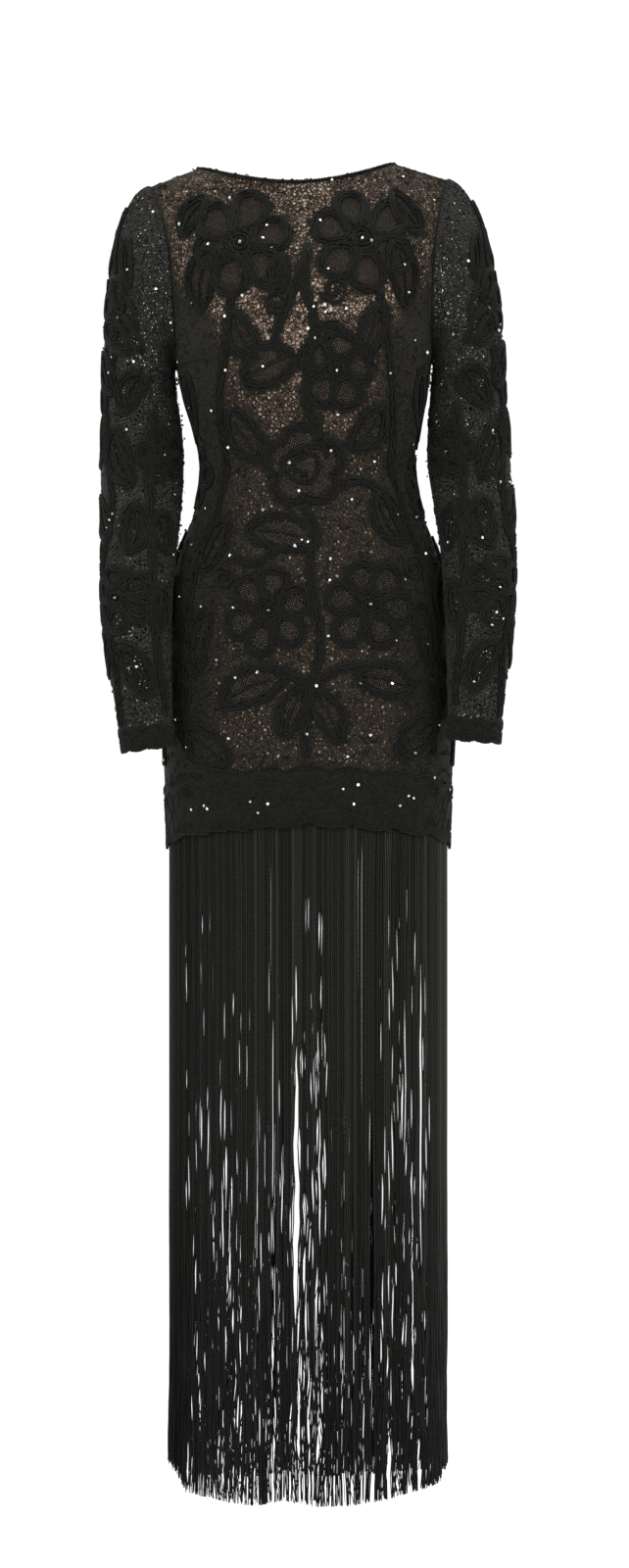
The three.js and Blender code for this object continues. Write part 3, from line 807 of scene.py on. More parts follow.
# Motifs by kind, place across and up, and their sizes and turns.
FRONT_MOTIFS = [
    ("flower", -67, -96, 60, 14, 6), ("flower", 66, -92, 60, 40, 6),
    ("leaf", -112, -134, 69, 32, 74, 0.2), ("leaf", 112, -128, 71, 33, 106, -0.2),
    ("flower", 34, -233, 42, 10, 5), ("leaf", -38, -232, 63, 36, 24), ("leaf", -66, -196, 56, 26, 118),
    ("leaf", 78, -190, 58, 26, 66), ("rose", -4, -333, 40, 20), ("leaf", -66, -300, 63, 29, 128, 0.15),
    ("leaf", 66, -292, 60, 29, 48, -0.15), ("leaf", -28, -407, 71, 34, -10, 0.12),
    ("leaf", 92, -386, 67, 26, 118, 0.3), ("flower", -42, -487, 48, 20, 6),
    ("flower", 66, -480, 50, 52, 6), ("leaf", -60, -569, 71, 33, 22), ("leaf", 84, -562, 67, 31, -12),
    ("leaf", -12, -592, 63, 24, 62, 0.2), ("leaf", 18, -598, 60, 24, 122, -0.2),
    ("leaf", -116, -628, 65, 33, 150), ("leaf", 124, -622, 65, 33, 34),
    ("leaf", -118, -520, 67, 29, 78, 0.3), ("leaf", 128, -508, 69, 29, 104, -0.3),
    ("leaf", -104, -414, 60, 29, 62), ("scroll", 34, -148, 15, 200), ("scroll", -28, -162, 14, -20, -1),
    ("scroll", 118, -440, 15, 30), ("scroll", -92, -452, 13, 140, -1), ("flower", -150, -340, 32, 0, 5),
    ("flower", 152, -352, 32, 30, 5), ("flower", -166, -578, 35, 12, 5), ("flower", 170, -566, 35, 48, 5),
    ("leaf", -152, -262, 56, 26, 84), ("leaf", 154, -256, 56, 26, 96), ("leaf", -164, -478, 60, 29, 96),
    ("leaf", 168, -470, 60, 29, 84), ("leaf", -124, -62, 50, 24, 52), ("leaf", 122, -58, 50, 24, 128),
    ("leaf", -24, -132, 39, 18, 78),
]
FRONT_STEMS = [
    [(6, -104), (2, -140), (12, -190), (0, -262), (14, -292)],
    [(2, -120), (-14, -158), (-30, -198), (-26, -214)], [(12, -190), (34, -186), (46, -200)],
    [(-4, -374), (8, -404), (2, -440), (12, -520), (3, -566)],
    [(36, -350), (64, -350), (98, -372), (112, -412)], [(-30, -420), (-58, -436), (-84, -428)],
    [(-78, -150), (-86, -210), (-98, -270), (-92, -330)],
    [(84, -146), (94, -206), (100, -268), (94, -330)],
    [(-92, -330), (-104, -380), (-128, -440), (-138, -520)],
    [(94, -330), (112, -384), (134, -444), (146, -520)], [(-138, -520), (-142, -580), (-134, -640)],
    [(146, -520), (150, -580), (144, -640)], [(3, -566), (-34, -548), (-62, -546)],
    [(3, -566), (40, -546), (66, -546)],
    [(-176, -230), (-174, -320), (-188, -420), (-196, -540), (-190, -650)],
    [(176, -230), (176, -320), (190, -420), (198, -540), (194, -650)],
    [(-3, -640), (-2, -610), (3, -566)],
]
BACK_HALF_MOTIFS = [
    ("flower", 62, -100, 56, 22, 6), ("leaf", 112, -138, 67, 32, 104, -0.2), ("leaf", 26, -168, 54, 25, 68),
    ("flower", 58, -226, 43, 8, 5), ("leaf", 104, -222, 58, 29, 82), ("leaf", 26, -288, 60, 26, 112, 0.2),
    ("rose", 70, -338, 33, 40), ("leaf", 36, -402, 65, 31, 34), ("leaf", 112, -392, 63, 29, 112, 0.2),
    ("flower", 58, -476, 50, 30, 6), ("leaf", 118, -482, 65, 31, 96), ("leaf", 34, -560, 65, 31, 142),
    ("leaf", 92, -562, 65, 31, 24), ("flower", 128, -606, 39, 10, 5), ("leaf", 44, -622, 63, 29, 12),
    ("flower", 164, -346, 32, 14, 5), ("leaf", 160, -262, 56, 26, 96), ("leaf", 176, -470, 60, 29, 84),
    ("leaf", 180, -570, 58, 28, 100), ("leaf", 122, -62, 50, 24, 128), ("scroll", 96, -300, 14, 60),
    ("scroll", 30, -520, 13, 200, -1), ("leaf", 34, -48, 43, 21, 172),
]
BACK_HALF_STEMS = [
    [(7, -30), (9, -160), (7, -300), (9, -470), (8, -660)], [(84, -150), (88, -190), (92, -260), (96, -320)],
    [(100, -352), (120, -420), (146, -470), (150, -560)], [(10, -250), (34, -262), (52, -262)],
    [(10, -440), (28, -432), (40, -440)], [(190, -230), (190, -330), (202, -430), (212, -560), (206, -650)],
    [(70, -520), (64, -560), (74, -600), (70, -640)], [(12, -34), (50, -30), (92, -36)],
]
# On a sleeve the places are across from its outer line and up from the cuff.
SLEEVE_MOTIFS = [
    ("flower", -40, 498, 41, 12, 6), ("flower", -38, 168, 40, 30, 6), ("leaf", -44, 84, 58, 28, 70, 0.2),
    ("leaf", -6, 112, 56, 26, 112, -0.2), ("leaf", -56, 246, 58, 28, 100, 0.2),
    ("leaf", -14, 262, 60, 28, 66), ("leaf", -48, 330, 63, 29, 74, -0.2),
    ("leaf", -8, 352, 58, 28, 118, 0.2), ("leaf", -62, 410, 60, 29, 110), ("leaf", -20, 428, 56, 26, 58),
    ("flower", 34, 222, 32, 10, 5), ("flower", 34, 402, 35, 40, 5), ("leaf", 38, 136, 56, 26, 94),
    ("leaf", 40, 306, 58, 28, 82), ("leaf", 32, 486, 56, 28, 104), ("leaf", 8, 560, 50, 25, 96),
    ("leaf", -40, 562, 48, 24, 60), ("leaf", 44, 62, 48, 24, 76), ("flower", 80, 330, 32, 20, 5),
    ("leaf", 80, 230, 54, 26, 100), ("leaf", 84, 430, 54, 26, 84), ("flower", -96, 330, 30, 0, 5),
    ("leaf", -96, 240, 52, 24, 80), ("scroll", -2, 208, 12, 90), ("leaf", 78, 144, 52, 24, 88),
    ("leaf", -84, 150, 48, 22, 104),
]
SLEEVE_STEMS = [
    [(-16, 30), (-24, 110), (-10, 190), (-34, 280), (-22, 370), (-38, 450)],
    [(18, 34), (16, 130), (22, 230), (14, 330), (20, 430), (4, 530)],
    [(62, 40), (58, 150), (62, 260), (58, 370), (66, 460)], [(-72, 40), (-76, 160), (-78, 280), (-84, 380)],
    [(-22, 540), (-4, 580), (-2, 610)],
]


def draw(drawing, motifs, stems, hand, jitter):
    """Draws the listed motifs and stems. hand -1 mirrors them, and jitter moves each a little."""
    for kind, s, t, *rest in motifs:
        ds, dt = drawing.random.uniform(-jitter, jitter, 2)
        if hand < 0:
            turn = 2 if kind == "leaf" else 1
            rest[turn] = 180 - rest[turn]
            if kind == "leaf":
                rest[3:] = [-bend for bend in rest[3:]]
            if kind == "scroll":
                rest[2:] = [-way for way in rest[2:] or [1]]
        DRAW[kind](drawing, hand * s + ds, t + dt, *rest)
    for points in stems:
        drawing.cord(spline([(hand * s, t) for s, t in points]))


# ---- Panels and what is sewn to them ----

CLOTHS, DRAWINGS, PIECES = {}, {}, {}
BACK_JITTER, SLEEVE_JITTER = 2.5, 3.0  # how far a repeated motif may stray from its listed place
CORD_RADIUS, GROUND_RADIUS, PICOT_RADIUS, ARMHOLE_CORD_RADIUS = 1.55, 0.5, 0.75, 1.7
BAR_REACH, BAR_LIFT, BAR_THINNING, PICOT_SIZE, PICOT_LIFT = (1.8, 3.6), -0.2, 0.4, (0.7, 1.2), 0.1
MAP_CELL, MAP_MARGIN = 1.5, 6  # of the maps of netted and solid places
BARS = {"front": 5400, "back": 5200, "sleeve_left": 3400, "sleeve_right": 3400}
LOOPS = {"front": 360, "back": 360, "sleeve_left": 230, "sleeve_right": 230}
# A border's height, one scallop's length, how far the notches between scallops rise, how far up the cloth
# follows them, the size of a rosette's petals, its cords' radius and lift, and its distance off the lace.
Border = namedtuple("Border", "height scallop notch fade petal cord lift over")
HEM = Border(66, 47, 7, 34, 23, 1.3, LAYER_GAP + 0.2, LAYER_GAP + 0.5)
CUFF = Border(26, 21, 4, 16, 9.5, 1.0, 0.2, 0.3)
BORDER_THICKNESS, BORDER_SOLID = 0.8, 0.85
ROSETTE_UP, LOW_CORDS, TOP_CORDS = 0.42, (1.2, 3.8, 6.6), (0.5, 3.2)  # a share of the height, then mm
BINDING_SINK = 2.2  # how far the neck binding is drawn down over the lace's edge
SEAM_RADIUS, SEAM_DEPTH = 1.0, 1.0  # of the cords that close the seams
LACE_WALL = (-0.7, -1.3)  # the outer and inner faces of the lace, out from the cloth's surface
PANEL_MARGIN = 0.7  # what is sewn to a panel stays this far inside its sides


def cloth(name):
    """The cloth of the front, the back or a sleeve, worked out when it is first asked for."""
    if name not in CLOTHS:
        if name in ("front", "back"):
            face, creases = (FRONT, FRONT_CREASES) if name == "front" else (BACK, BACK_CREASES)
            CLOTHS[name] = bodice_cloth(face, creases)
        else:
            CLOTHS[name] = sleeve_cloth(side_of(name))
    return CLOTHS[name]


def drawing(name):
    """What is drawn on a cloth. The back's motifs are those of one half, mirrored for the other."""
    if name not in DRAWINGS:
        made = DRAWINGS[name] = Drawing(SEEDS[name])
        if name == "front":
            draw(made, FRONT_MOTIFS, FRONT_STEMS, 1, 0.0)
        elif name == "back":
            for hand in hands(name):
                draw(made, BACK_HALF_MOTIFS, BACK_HALF_STEMS, hand, BACK_JITTER)
        else:
            draw(made, SLEEVE_MOTIFS, SLEEVE_STEMS, side_of(name), SLEEVE_JITTER)
    return DRAWINGS[name]


def side_of(sleeve_name):
    return SIDES[sleeve_name.removeprefix("sleeve_")]


def hands(name):
    """1 for a cloth as it is listed, and -1 too where its other half mirrors it."""
    return (1, -1) if name == "back" else (1,)


def write_share(obj, label, values):
    """Writes one number for each point of a piece, for its finish to read."""
    layer = obj.data.attributes.new(label, "FLOAT", "POINT")
    layer.data.foreach_set("value", np.asarray(values, np.float32))


def keep(name, obj, slot, *replaced):
    """Files a finished piece by name and hides the nodes it stands for. The slot is not used."""
    if replaced:
        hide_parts(*replaced)
    PIECES[name] = obj
    return obj


def edge_line(name, s):
    """Height of a panel's lower edge at s."""
    c = cloth(name)
    return np.interp(s, c.s[:, 0], c.t[:, 0])


def border_of(name):
    return CUFF if cloth(name).around else HEM


def notch(border, s):
    """How far a scalloped edge rises above its lobes' tips at s."""
    return border.notch * (1 - np.abs(np.sin(math.pi * s / border.scallop)) ** 0.6)


class PlaceMap:
    """Netted and solid places of a panel on an even grid of its flat layout."""

    def __init__(self, name):
        c, d = cloth(name), drawing(name)
        self.low = np.array([c.s.min(), c.t.min()]) - MAP_MARGIN
        size = np.ceil((np.array([c.s.max(), c.t.max()]) + MAP_MARGIN - self.low) / MAP_CELL).astype(int)
        self.net, self.solid = np.zeros(size), np.zeros(size)
        for outline in d.nets:
            self.fill(outline)
        for line, reach in d.solids:
            self.stroke(line, reach)

    def fill(self, outline):
        a, b = outline, np.roll(outline, -1, 0)
        low = np.maximum(((a.min(0) - self.low) / MAP_CELL).astype(int), 0)
        high = np.minimum(((a.max(0) - self.low) / MAP_CELL).astype(int) + 2, self.net.shape)
        if (high <= low).any():
            return
        x = (np.arange(low[0], high[0]) * MAP_CELL + self.low[0])[:, None, None]
        y = (np.arange(low[1], high[1]) * MAP_CELL + self.low[1])[None, :, None]
        rise = np.where(b[:, 1] == a[:, 1], 1e-9, b[:, 1] - a[:, 1])
        crossing = (a[:, 1] > y) != (b[:, 1] > y)
        left = x < (b[:, 0] - a[:, 0]) * (y - a[:, 1]) / rise + a[:, 0]
        inside = (crossing & left).sum(-1) % 2 == 1
        self.net[low[0]:high[0], low[1]:high[1]][inside] = 1

    def stroke(self, line, reach):
        cells = int(math.ceil(reach / MAP_CELL))
        offsets = [(i, j) for i in range(-cells, cells + 1) for j in range(-cells, cells + 1)
                   if math.hypot(i, j) * MAP_CELL <= reach]
        at = np.round((evenly(line, MAP_CELL) - self.low) / MAP_CELL).astype(int)
        for offset in offsets:
            i, j = (np.clip(at[:, k] + offset[k], 0, self.solid.shape[k] - 1) for k in (0, 1))
            self.solid[i, j] = 1

    def read(self, field, s, t):
        i, j = (np.clip(((value - low) / MAP_CELL).round().astype(int), 0, size - 1)
                for value, low, size in zip((s, t), self.low, field.shape))
        return field[i, j]


def paint(obj, c, places, columns, rows, closeness):
    """Writes the netted and solid shares of a panel's wall."""
    i, j = np.meshgrid(columns, rows, indexing="ij")
    s, t = c.s[i, j], c.t[i, j]
    ring = len(columns) - 1 if c.around else len(columns)
    solid = np.maximum(places.read(places.solid, s, t), closeness(s, t))
    for label, values in (("net", places.read(places.net, s, t)), ("solid", solid)):
        write_share(obj, label, np.tile(values[:ring].ravel(), 2))


def couch(cords, name, lines, radius, within=None):
    """Lays lines on a panel as cords, in as many runs as its edges leave."""
    every = np.concatenate([line for line, _ in lines])
    sizes = [len(line) for line, _ in lines]
    points, outward, on = cloth(name).place(*every.T, np.repeat([lift for _, lift in lines], sizes))
    if within is not None:
        on = on & within(every[:, 0])
    for line in np.split(np.arange(len(every)), np.cumsum(sizes)[:-1]):
        for run in np.split(line, np.flatnonzero(np.diff(on[line])) + 1):
            if len(run) > 2 and on[run[0]]:
                cords.add(points[run], outward[run], radius)


# Where the ground is most openly worked: place across and up, and size.
OPEN_PATCHES = {
    "front": [(-58, -168, 30), (52, -166, 30), (6, -52, 34), (-8, -215, 24), (44, -290, 22), (-24, -290, 20),
              (18, -505, 22), (-8, -560, 20), (96, -470, 18), (-86, -500, 20), (-126, -118, 22),
              (76, -160, 24)],
    "back": [(46, -160, 30), (30, -350, 26), (62, -420, 24), (76, -520, 26), (72, -590, 26), (34, -90, 20)],
}


# How closely the ground is worked, from 0 to 1: over the chest, below it, at the sides, and on a sleeve with
# how far that varies. An open patch is looser by the last. The closer sides are darker and less open, partly
# for closer work and partly as painted shade where the body turns away.
CHEST_GROUND, WAIST_GROUND, SIDE_GROUND_AND_SHADE = 0.05, 0.36, 0.72
SLEEVE_GROUND, SLEEVE_VARIES, PATCH_OPENS = 0.24, 0.1, 0.16
CLOSE_FROM, SIDE_FADE = 68, 46  # how far from the middle the closer sides start at the waist, and their fade


def ground_density(name, s, t):
    """How closely the ground is worked: closer at the sides and waist, and open in patches. The closer sides
    are partly painted shade where the body turns away.
    """
    if cloth(name).around:
        return SLEEVE_GROUND + SLEEVE_VARIES * np.sin(s / 19.0) * np.sin(t / 31.0)
    start = CLOSE_FROM + 90 * smooth((t + 210) / 110) + 22 * smooth((-t - 470) / 120)
    middle = mix(CHEST_GROUND, WAIST_GROUND, smooth((-t - 212) / 110))
    close = mix(middle, SIDE_GROUND_AND_SHADE, smooth((np.abs(s) - start) / SIDE_FADE))
    for place, height, size in OPEN_PATCHES[name]:
        for hand in hands(name):
            close = close - PATCH_OPENS * np.exp(-((s - hand * place) ** 2 + (t - height) ** 2) / size**2)
    return np.clip(close, 0, 1)


def ground_bars(name, places, seed, limits):
    """The raised bars of the ground between the motifs, short and at every angle."""
    c, count, random = cloth(name), BARS[name], np.random.default_rng(seed)
    s, t = random.uniform(c.s.min(), c.s.max(), count), random.uniform(c.t.min(), c.t.max(), count)
    clear = places.read(places.net + places.solid, s, t) == 0
    clear &= limits(s, t) & (random.random(count) > BAR_THINNING * ground_density(name, s, t))
    s, t = s[clear, None], t[clear, None]
    angle, reach = random.uniform(0, math.pi, s.shape), random.uniform(*BAR_REACH, s.shape)
    ends = np.array([-1, 1])
    s, t = s + ends * (reach * np.cos(angle)), t + ends * (reach * np.sin(angle))
    points, outward, on = c.place(s.ravel(), t.ravel(), BAR_LIFT)
    on = on.reshape(-1, 2).all(1) & limits(s, t).all(1)
    points, outward = points.reshape(-1, 2, 3)[on], outward.reshape(-1, 2, 3)[on]
    cords = Cords(3)
    cords.add(points, outward, GROUND_RADIUS * random.uniform(0.8, 1.4, (len(points), 1)))
    return cords


def picots(name, seed, limits):
    """Small loops of cord that stand off a panel and roughen its outline."""
    c, count, random = cloth(name), LOOPS[name], np.random.default_rng(seed)
    s, t = (random.uniform(field.min() + 3, field.max() - 3, count) for field in (c.s, c.t))
    centre, outward, on = c.place(s, t, PICOT_LIFT)
    on &= limits(s)
    centre, outward, count = centre[on], outward[on], on.sum()
    side = unit(np.cross(outward, random.normal(0, 1, (count, 3))))
    size = random.uniform(*PICOT_SIZE, (count, 1, 1))
    a = np.linspace(-0.2, 1.2, 6)[:, None] * math.pi
    loop = centre[:, None] + size * (np.cos(a) * side[:, None] + (0.9 + np.sin(a)) * outward[:, None])
    cords = Cords(3)
    cords.add(loop, np.cross(side, outward)[:, None], PICOT_RADIUS)
    return cords


def scallops(name, top=False):
    """What lifts a cloth's lower edge into scallops, and with top sinks the upper edge of a border too."""
    c, border = cloth(name), border_of(name)

    def scallop(point, i, j):
        s = c.s[i, j]
        above = c.flat[i, j][..., 1] - c.flat[i, 0 * j][..., 1]
        point[..., 2] += notch(border, s) * smooth(1 - above / border.fade)
        if top:
            point[..., 2] -= (notch(border, s + border.scallop / 2)
                              * smooth(1 - (border.height - above) / border.fade))
        return point
    return scallop


def armhole_cord(cords, side):
    """The cord that covers the seam between a sleeve and its armhole."""
    turn = np.linspace(0, TAU, 73)[:-1]
    point, outward = with_outward(sleeve(side), turn, np.full(turn.shape, 2 - TINY))
    middle = point - np.array([side * SLEEVE_GAP / 2, 0, SLEEVE_GAP / 4]) - outward * 0.4
    cords.add(middle, outward, ARMHOLE_CORD_RADIUS, closed=True)


def seam_cords(cords, name, label):
    """Cords that close the seams of the bodice: centre back, and on the front's side, side and shoulder."""
    c = cloth(name)
    inside = c.point - c.outward * SEAM_DEPTH
    runs = []
    if label == "left":
        runs.append((c.s.shape[0] // 2, slice(2, None, 2)))
    if name == "front":
        inside = inside + (0, SEAM_GAP / 2, 0)
        armpit = int(np.argmax(c.point[0, :, 2] >= ARMPIT_Z - 1)) + 1
        neck_x = c.point[0, -1, 0] - (SHOULDER_HALF_WIDTH - NECK_HALF_WIDTH)
        past_neck = int(np.argmax(c.point[:, -1, 0] < neck_x)) + 2
        runs += [(0, slice(1, armpit, 2)), (-1, slice(1, armpit, 2)), (slice(past_neck), -1),
                 (slice(-past_neck, None), -1)]
    for run in runs:
        cords.add(inside[run], c.outward[run], SEAM_RADIUS)


def panels(name):
    """Each panel cut from a cloth: its label, its name's ending, its shift sideways and its grid columns."""
    wide = cloth(name).s.shape[0]
    if name != "back":
        return [("", "", 0.0, range(wide))]
    return [("left", "_left", SEAM_GAP / 2, range(wide // 2 + 1)),
            ("right", "_right", -SEAM_GAP / 2, range(wide // 2, wide))]


def lace_panels(name, node):
    """The lace of a cloth, with its ground and its couched motifs, one panel at a time."""
    c, places, sleeved = cloth(name), PlaceMap(name), cloth(name).around
    rows, lace = range(c.s.shape[1]), finish("sleeve_lace" if sleeved else "lined_lace")

    def closeness(s, t):
        return np.maximum(ground_density(name, s, t),
                          (t - edge_line(name, s)) < border_of(name).height * 0.92)

    for label, ending, shift, columns in panels(name):
        wall = shell(f"{node}{ending}_panel", c, lace, columns, rows, *LACE_WALL, shift, scallops(name))
        paint(wall, c, places, columns, rows, closeness)
        keep(node + ending, wall, "lace", node + ending)
        low, high = c.s[columns[0]].min() + PANEL_MARGIN, c.s[columns[-1]].max() - PANEL_MARGIN

        def here(s):
            return (s > low) & (s < high)

        seed = SEEDS["ground"] + len(PIECES)
        couched = Cords(4)
        couch(couched, name, drawing(name).cords, CORD_RADIUS, here)
        if sleeved:
            armhole_cord(couched, side_of(name))
        else:
            seam_cords(couched, name, label)
        bars = ground_bars(name, places, seed, lambda s, t: here(s) & (closeness(s, t) < 1))
        for part, cords, look, slot in (("ground", bars, "ground_cord", "lace"),
                                        ("cords", couched, "couched_cord", "border"),
                                        ("loops", picots(name, seed, here), "couched_cord", "border")):
            keep(f"{node}{ending}_{part}", cords.join(f"{node}{ending}_{part}", finish(look)), slot)


def lining_panels(name, node):
    """The lining inside a cloth, from halfway up the hem band."""
    c, outer = cloth(name), -LACE - LAYER_GAP
    start = int(np.argmax(c.flat[0, :, 1] - c.flat[0, 0, 1] > HEM.height / 2))
    rows = [*range(start, c.s.shape[1] - 1, 3), c.s.shape[1] - 1]
    for _, ending, shift, columns in panels(name):
        wall = shell(f"{node}{ending}_panel", c, finish("lining"), columns[::2], rows, outer,
                     outer - LINING, shift)
        keep(node + ending, wall, "lining", node + ending)


def border_lines(name, seed):
    """A border of overlapping rosettes between scalloped edges, as lines on the flat."""
    d, c, b = Drawing(seed), cloth(name), border_of(name)
    s = np.arange(c.s[0, 0] + 1, c.s[-1, 0] - 1, 2.0)
    low = edge_line(name, s) + notch(b, s)
    top = edge_line(name, s) + b.height - notch(b, s + b.scallop / 2)
    for t in [low + rise for rise in LOW_CORDS] + [top - drop for drop in TOP_CORDS]:
        d.cord(np.stack([s, t], -1), 1, lift=b.lift)
    for k in range(math.floor(s[0] / b.scallop), math.ceil(s[-1] / b.scallop) + 1):
        centre = (k + 0.5) * b.scallop
        at = edge_line(name, np.array([centre]))[0] + b.height * ROSETTE_UP
        for p in range(6):
            angle = 60 * p + d.random.uniform(-8, 8)
            outline = petal_line(d.vary(b.petal), d.vary(b.petal * 0.62))
            start = turned(np.array([[b.petal * 0.12, 0.0]]), angle, (centre, at))[0]
            d.cord(turned(outline, angle, start), 1, lift=b.lift)
        for hand in (-1, 1):
            curl = ring(1.5, 30, b.petal * 0.4 * (1 - 0.7 * np.linspace(0, 1, 30)), hand)
            for share in (0.2, 0.78):
                place = (centre + b.scallop / 2 - 1 + hand * b.petal * 0.16,
                         at + b.height * (share - ROSETTE_UP))
                d.cord(turned(curl, d.random.uniform(0, 360), place), 1, lift=b.lift)
    return d


def border_band(name, node, seed):
    """A scalloped border laid over a cloth's edge: a dense lace ground with its couched rosettes."""
    c, b = cloth(name), border_of(name)
    rows = range(int(np.argmax(c.flat[0, :, 1] - c.flat[0, 0, 1] > b.height)) + 1)
    band = shell(f"{node}_ground", c, finish("border_lace"), range(c.s.shape[0]), rows, b.over,
                 b.over - BORDER_THICKNESS, 0, scallops(name, top=True))
    for label, value in (("net", 0.0), ("solid", BORDER_SOLID)):
        write_share(band, label, np.full(len(band.data.vertices), value))
    keep(node, band, "border", node)
    cords = Cords(4)
    couch(cords, name, border_lines(name, seed).cords, b.cord)
    keep(f"{node}_cords", cords.join(f"{node}_rosettes", finish("couched_cord")), "border")


NECK_TUCK = 2.4  # how much deeper the binding is drawn where the front meets the back
NECK_POINTS, PLIES, PLY_PITCH, PLY_RADIUS, PLY_REACH, NECK_LOOP_RADIUS = 320, 3, 8.5, 1.25, 1.35, 0.6


def neck_path():
    """Points along the middle of the neck binding, the directions out from it and up, and its length."""
    low, high = 0.0, 1.0
    centre, top = np.array(0.0), np.array(1.0)
    while high - low > TINY:
        middle = (low + high) / 2
        reach = upper_point(FRONT, np.array(middle), top) - upper_point(FRONT, centre, top)
        low, high = (middle, high) if reach[0] < NECK_HALF_WIDTH else (low, middle)
    path = []
    for face in (FRONT, BACK):
        across = np.linspace(-high, high, 91)[:-1]
        point, outward = with_outward(bodice(face), across, np.full(across.shape, 2.0))
        inside = point - outward * (LACE + LAYER_GAP + LINING) / 2
        tuck = NECK_TUCK * smooth((np.abs(across) / high - 0.9) * 10)
        inside[:, 2] = point[:, 2] + BINDING_RADIUS - BINDING_SINK - tuck
        path.append(inside)
    path = np.concatenate([*path, path[0][:1]])
    length = run_along(path)[-1]
    path = points_at(path, np.linspace(0, 1, NECK_POINTS + 1)[:-1])
    along = unit(np.roll(path, -1, 0) - np.roll(path, 1, 0))
    out = unit(np.cross(along, np.array([0, 0, 1.0])))
    return path, out, np.cross(out, along), length


def neck_binding():
    """A plied cord round the neckline, with small uneven loops standing off it."""
    path, out, up, length = neck_path()
    random = np.random.default_rng(SEEDS["neck"])
    cords = Cords(5)
    for ply in range(PLIES):
        angle = np.arange(len(path)) / len(path) * round(length / PLY_PITCH) * TAU + ply * TAU / PLIES
        spoke = np.cos(angle)[:, None] * out + np.sin(angle)[:, None] * up
        cords.add(path + spoke * PLY_REACH, spoke, PLY_RADIUS, closed=True)
    a = np.linspace(-0.6, 1.2, 8)[:, None] * math.pi
    for k in range(0, len(path), 3):
        size, lean = random.uniform(1.4, 2.4), random.uniform(-0.7, 0.9)
        axis = unit(out[k] * math.cos(lean) + up[k] * math.sin(lean))
        aside, away = np.sin(a) * np.cross(up[k], out[k]) * 0.9, (1 - np.cos(a)) * axis * 0.5
        loop = path[k] + axis * 1.9 + size * (aside + away)
        cords.add(loop, up[k], NECK_LOOP_RADIUS)
    keep("neck_binding", cords.join("neck_cord", finish("couched_cord")), "border", "neck_binding")


# ---- Fringe ----

# Gaps between the threads, as they line up in both faces seen from SIGHT, in the plane of the side seams.
SIGHT = (21.2, -4500, -670)
# The longest gaps: place across, top, bottom and half width.
LONG_GAPS = [
    (2.1, -945, -1262, 2.5), (6, -1272, -1480, 2.1), (12, -1150, -1330, 0.9), (19, -1290, -1480, 1.3),
    (26, -1010, -1200, 0.9), (28, -1230, -1430, 0.9), (118.5, -880, -1100, 0.9), (136, -850, -1170, 1.1),
    (102, -1352, -1480, 3.0), (111, -1390, -1480, 2.0), (127, -1080, -1480, 0.9), (134, -1366, -1480, 2.0),
    (15.5, -1300, -1480, 1.6), (24, -1180, -1480, 0.9), (9, -1340, -1480, 1.5), (-94, -1000, -1112, 0.8),
    (-77, -1080, -1192, 0.8), (-112, -1290, -1392, 0.8), (-100, -800, -846, 0.6),
]
# Gaps in the front threads only, with the back ones showing through: the same, and how much thinner the back
# threads hang there.
FRONT_GAPS = [(-23, -900, -1560, 2.6, 0.22), (84, -1010, -1560, 2.4, 0.1), (-13, -900, -1280, 0.8, 0.15),
              (62, -1100, -1560, 1.4, 0.06), (52, -1200, -1560, 1.1, 0.06), (74, -1150, -1560, 1.1, 0.06),
              (-40, -960, -1560, 0.7, 0.15)]
# Stretches of many short gaps: middle, half width, top, how many, and their mean half width.
GAP_STRETCHES = [(-88, 30, -780, 78, 0.62), (15, 18, -780, 96, 0.82), (118, 28, -800, 100, 0.7),
                 (-44, 40, -860, 60, 0.5), (60, 36, -1150, 16, 0.5)]
THREAD_PULL = 7  # how far to each side of a gap the threads give way
GAPS_END_Z, KNEE_Z, DROP_FROM_Z = -1415, -900, -730  # a thread's drop is 0 at the last and 1 at FRINGE_END_Z
ENDS_VARY, SHORT_SHARE, SHORT_BY = 12, 0.04, (10, 90)  # how uneven the ends are, and the short threads
LOOSE_FROM, EDGE_ON = 0.4, 0.35  # where the threads start to sway, and how edge on their face may be taken
ROWS, ROW_GAP = 3, 1.1  # the rows the threads hang in, one behind another
THINNED_OVER = 5.0  # how far from a front gap the back threads hang thinner
TANGLES, DULL_STRAND = 90, 0.2  # how many tangles there are, and how little painted sheen the tangled thread has
# Where the threads end, by place across from the middle.
FRINGE_ENDS = np.array([
    (-151, -1398), (-141, -1409), (-128, -1427), (-100, -1431), (-57, -1436), (-26, -1429), (10, -1436),
    (58, -1434), (103, -1426), (138, -1419), (151, -1398),
], float)


def fringe_gaps():
    """All gaps that both faces share, as rows of place across, middle height, half length and half width."""
    random = np.random.default_rng(SEEDS["gaps"])
    rows = [(x, (top + end) / 2, (top - end) / 2, wide) for x, top, end, wide in LONG_GAPS]
    for middle, spread, top, count, wide in GAP_STRETCHES:
        for _ in range(count):
            share = random.random() ** 0.75
            rows.append((middle + random.uniform(-spread, spread), mix(top, GAPS_END_Z, share),
                         random.uniform(12, 40), wide * random.uniform(0.55, 1.4) * (0.7 + 0.6 * share)))
    return rows


def part_threads(x, z, gaps):
    """How far threads seen at x and z are pushed sideways by the gaps."""
    push = np.zeros(np.shape(z))
    for place, middle, reach, width in gaps:
        lens = np.maximum(0, 1 - np.abs((z - middle) / reach) ** 2.4)
        push += np.sign(x - place) * width * lens * np.exp(-np.abs(x - place) / THREAD_PULL)
    return push


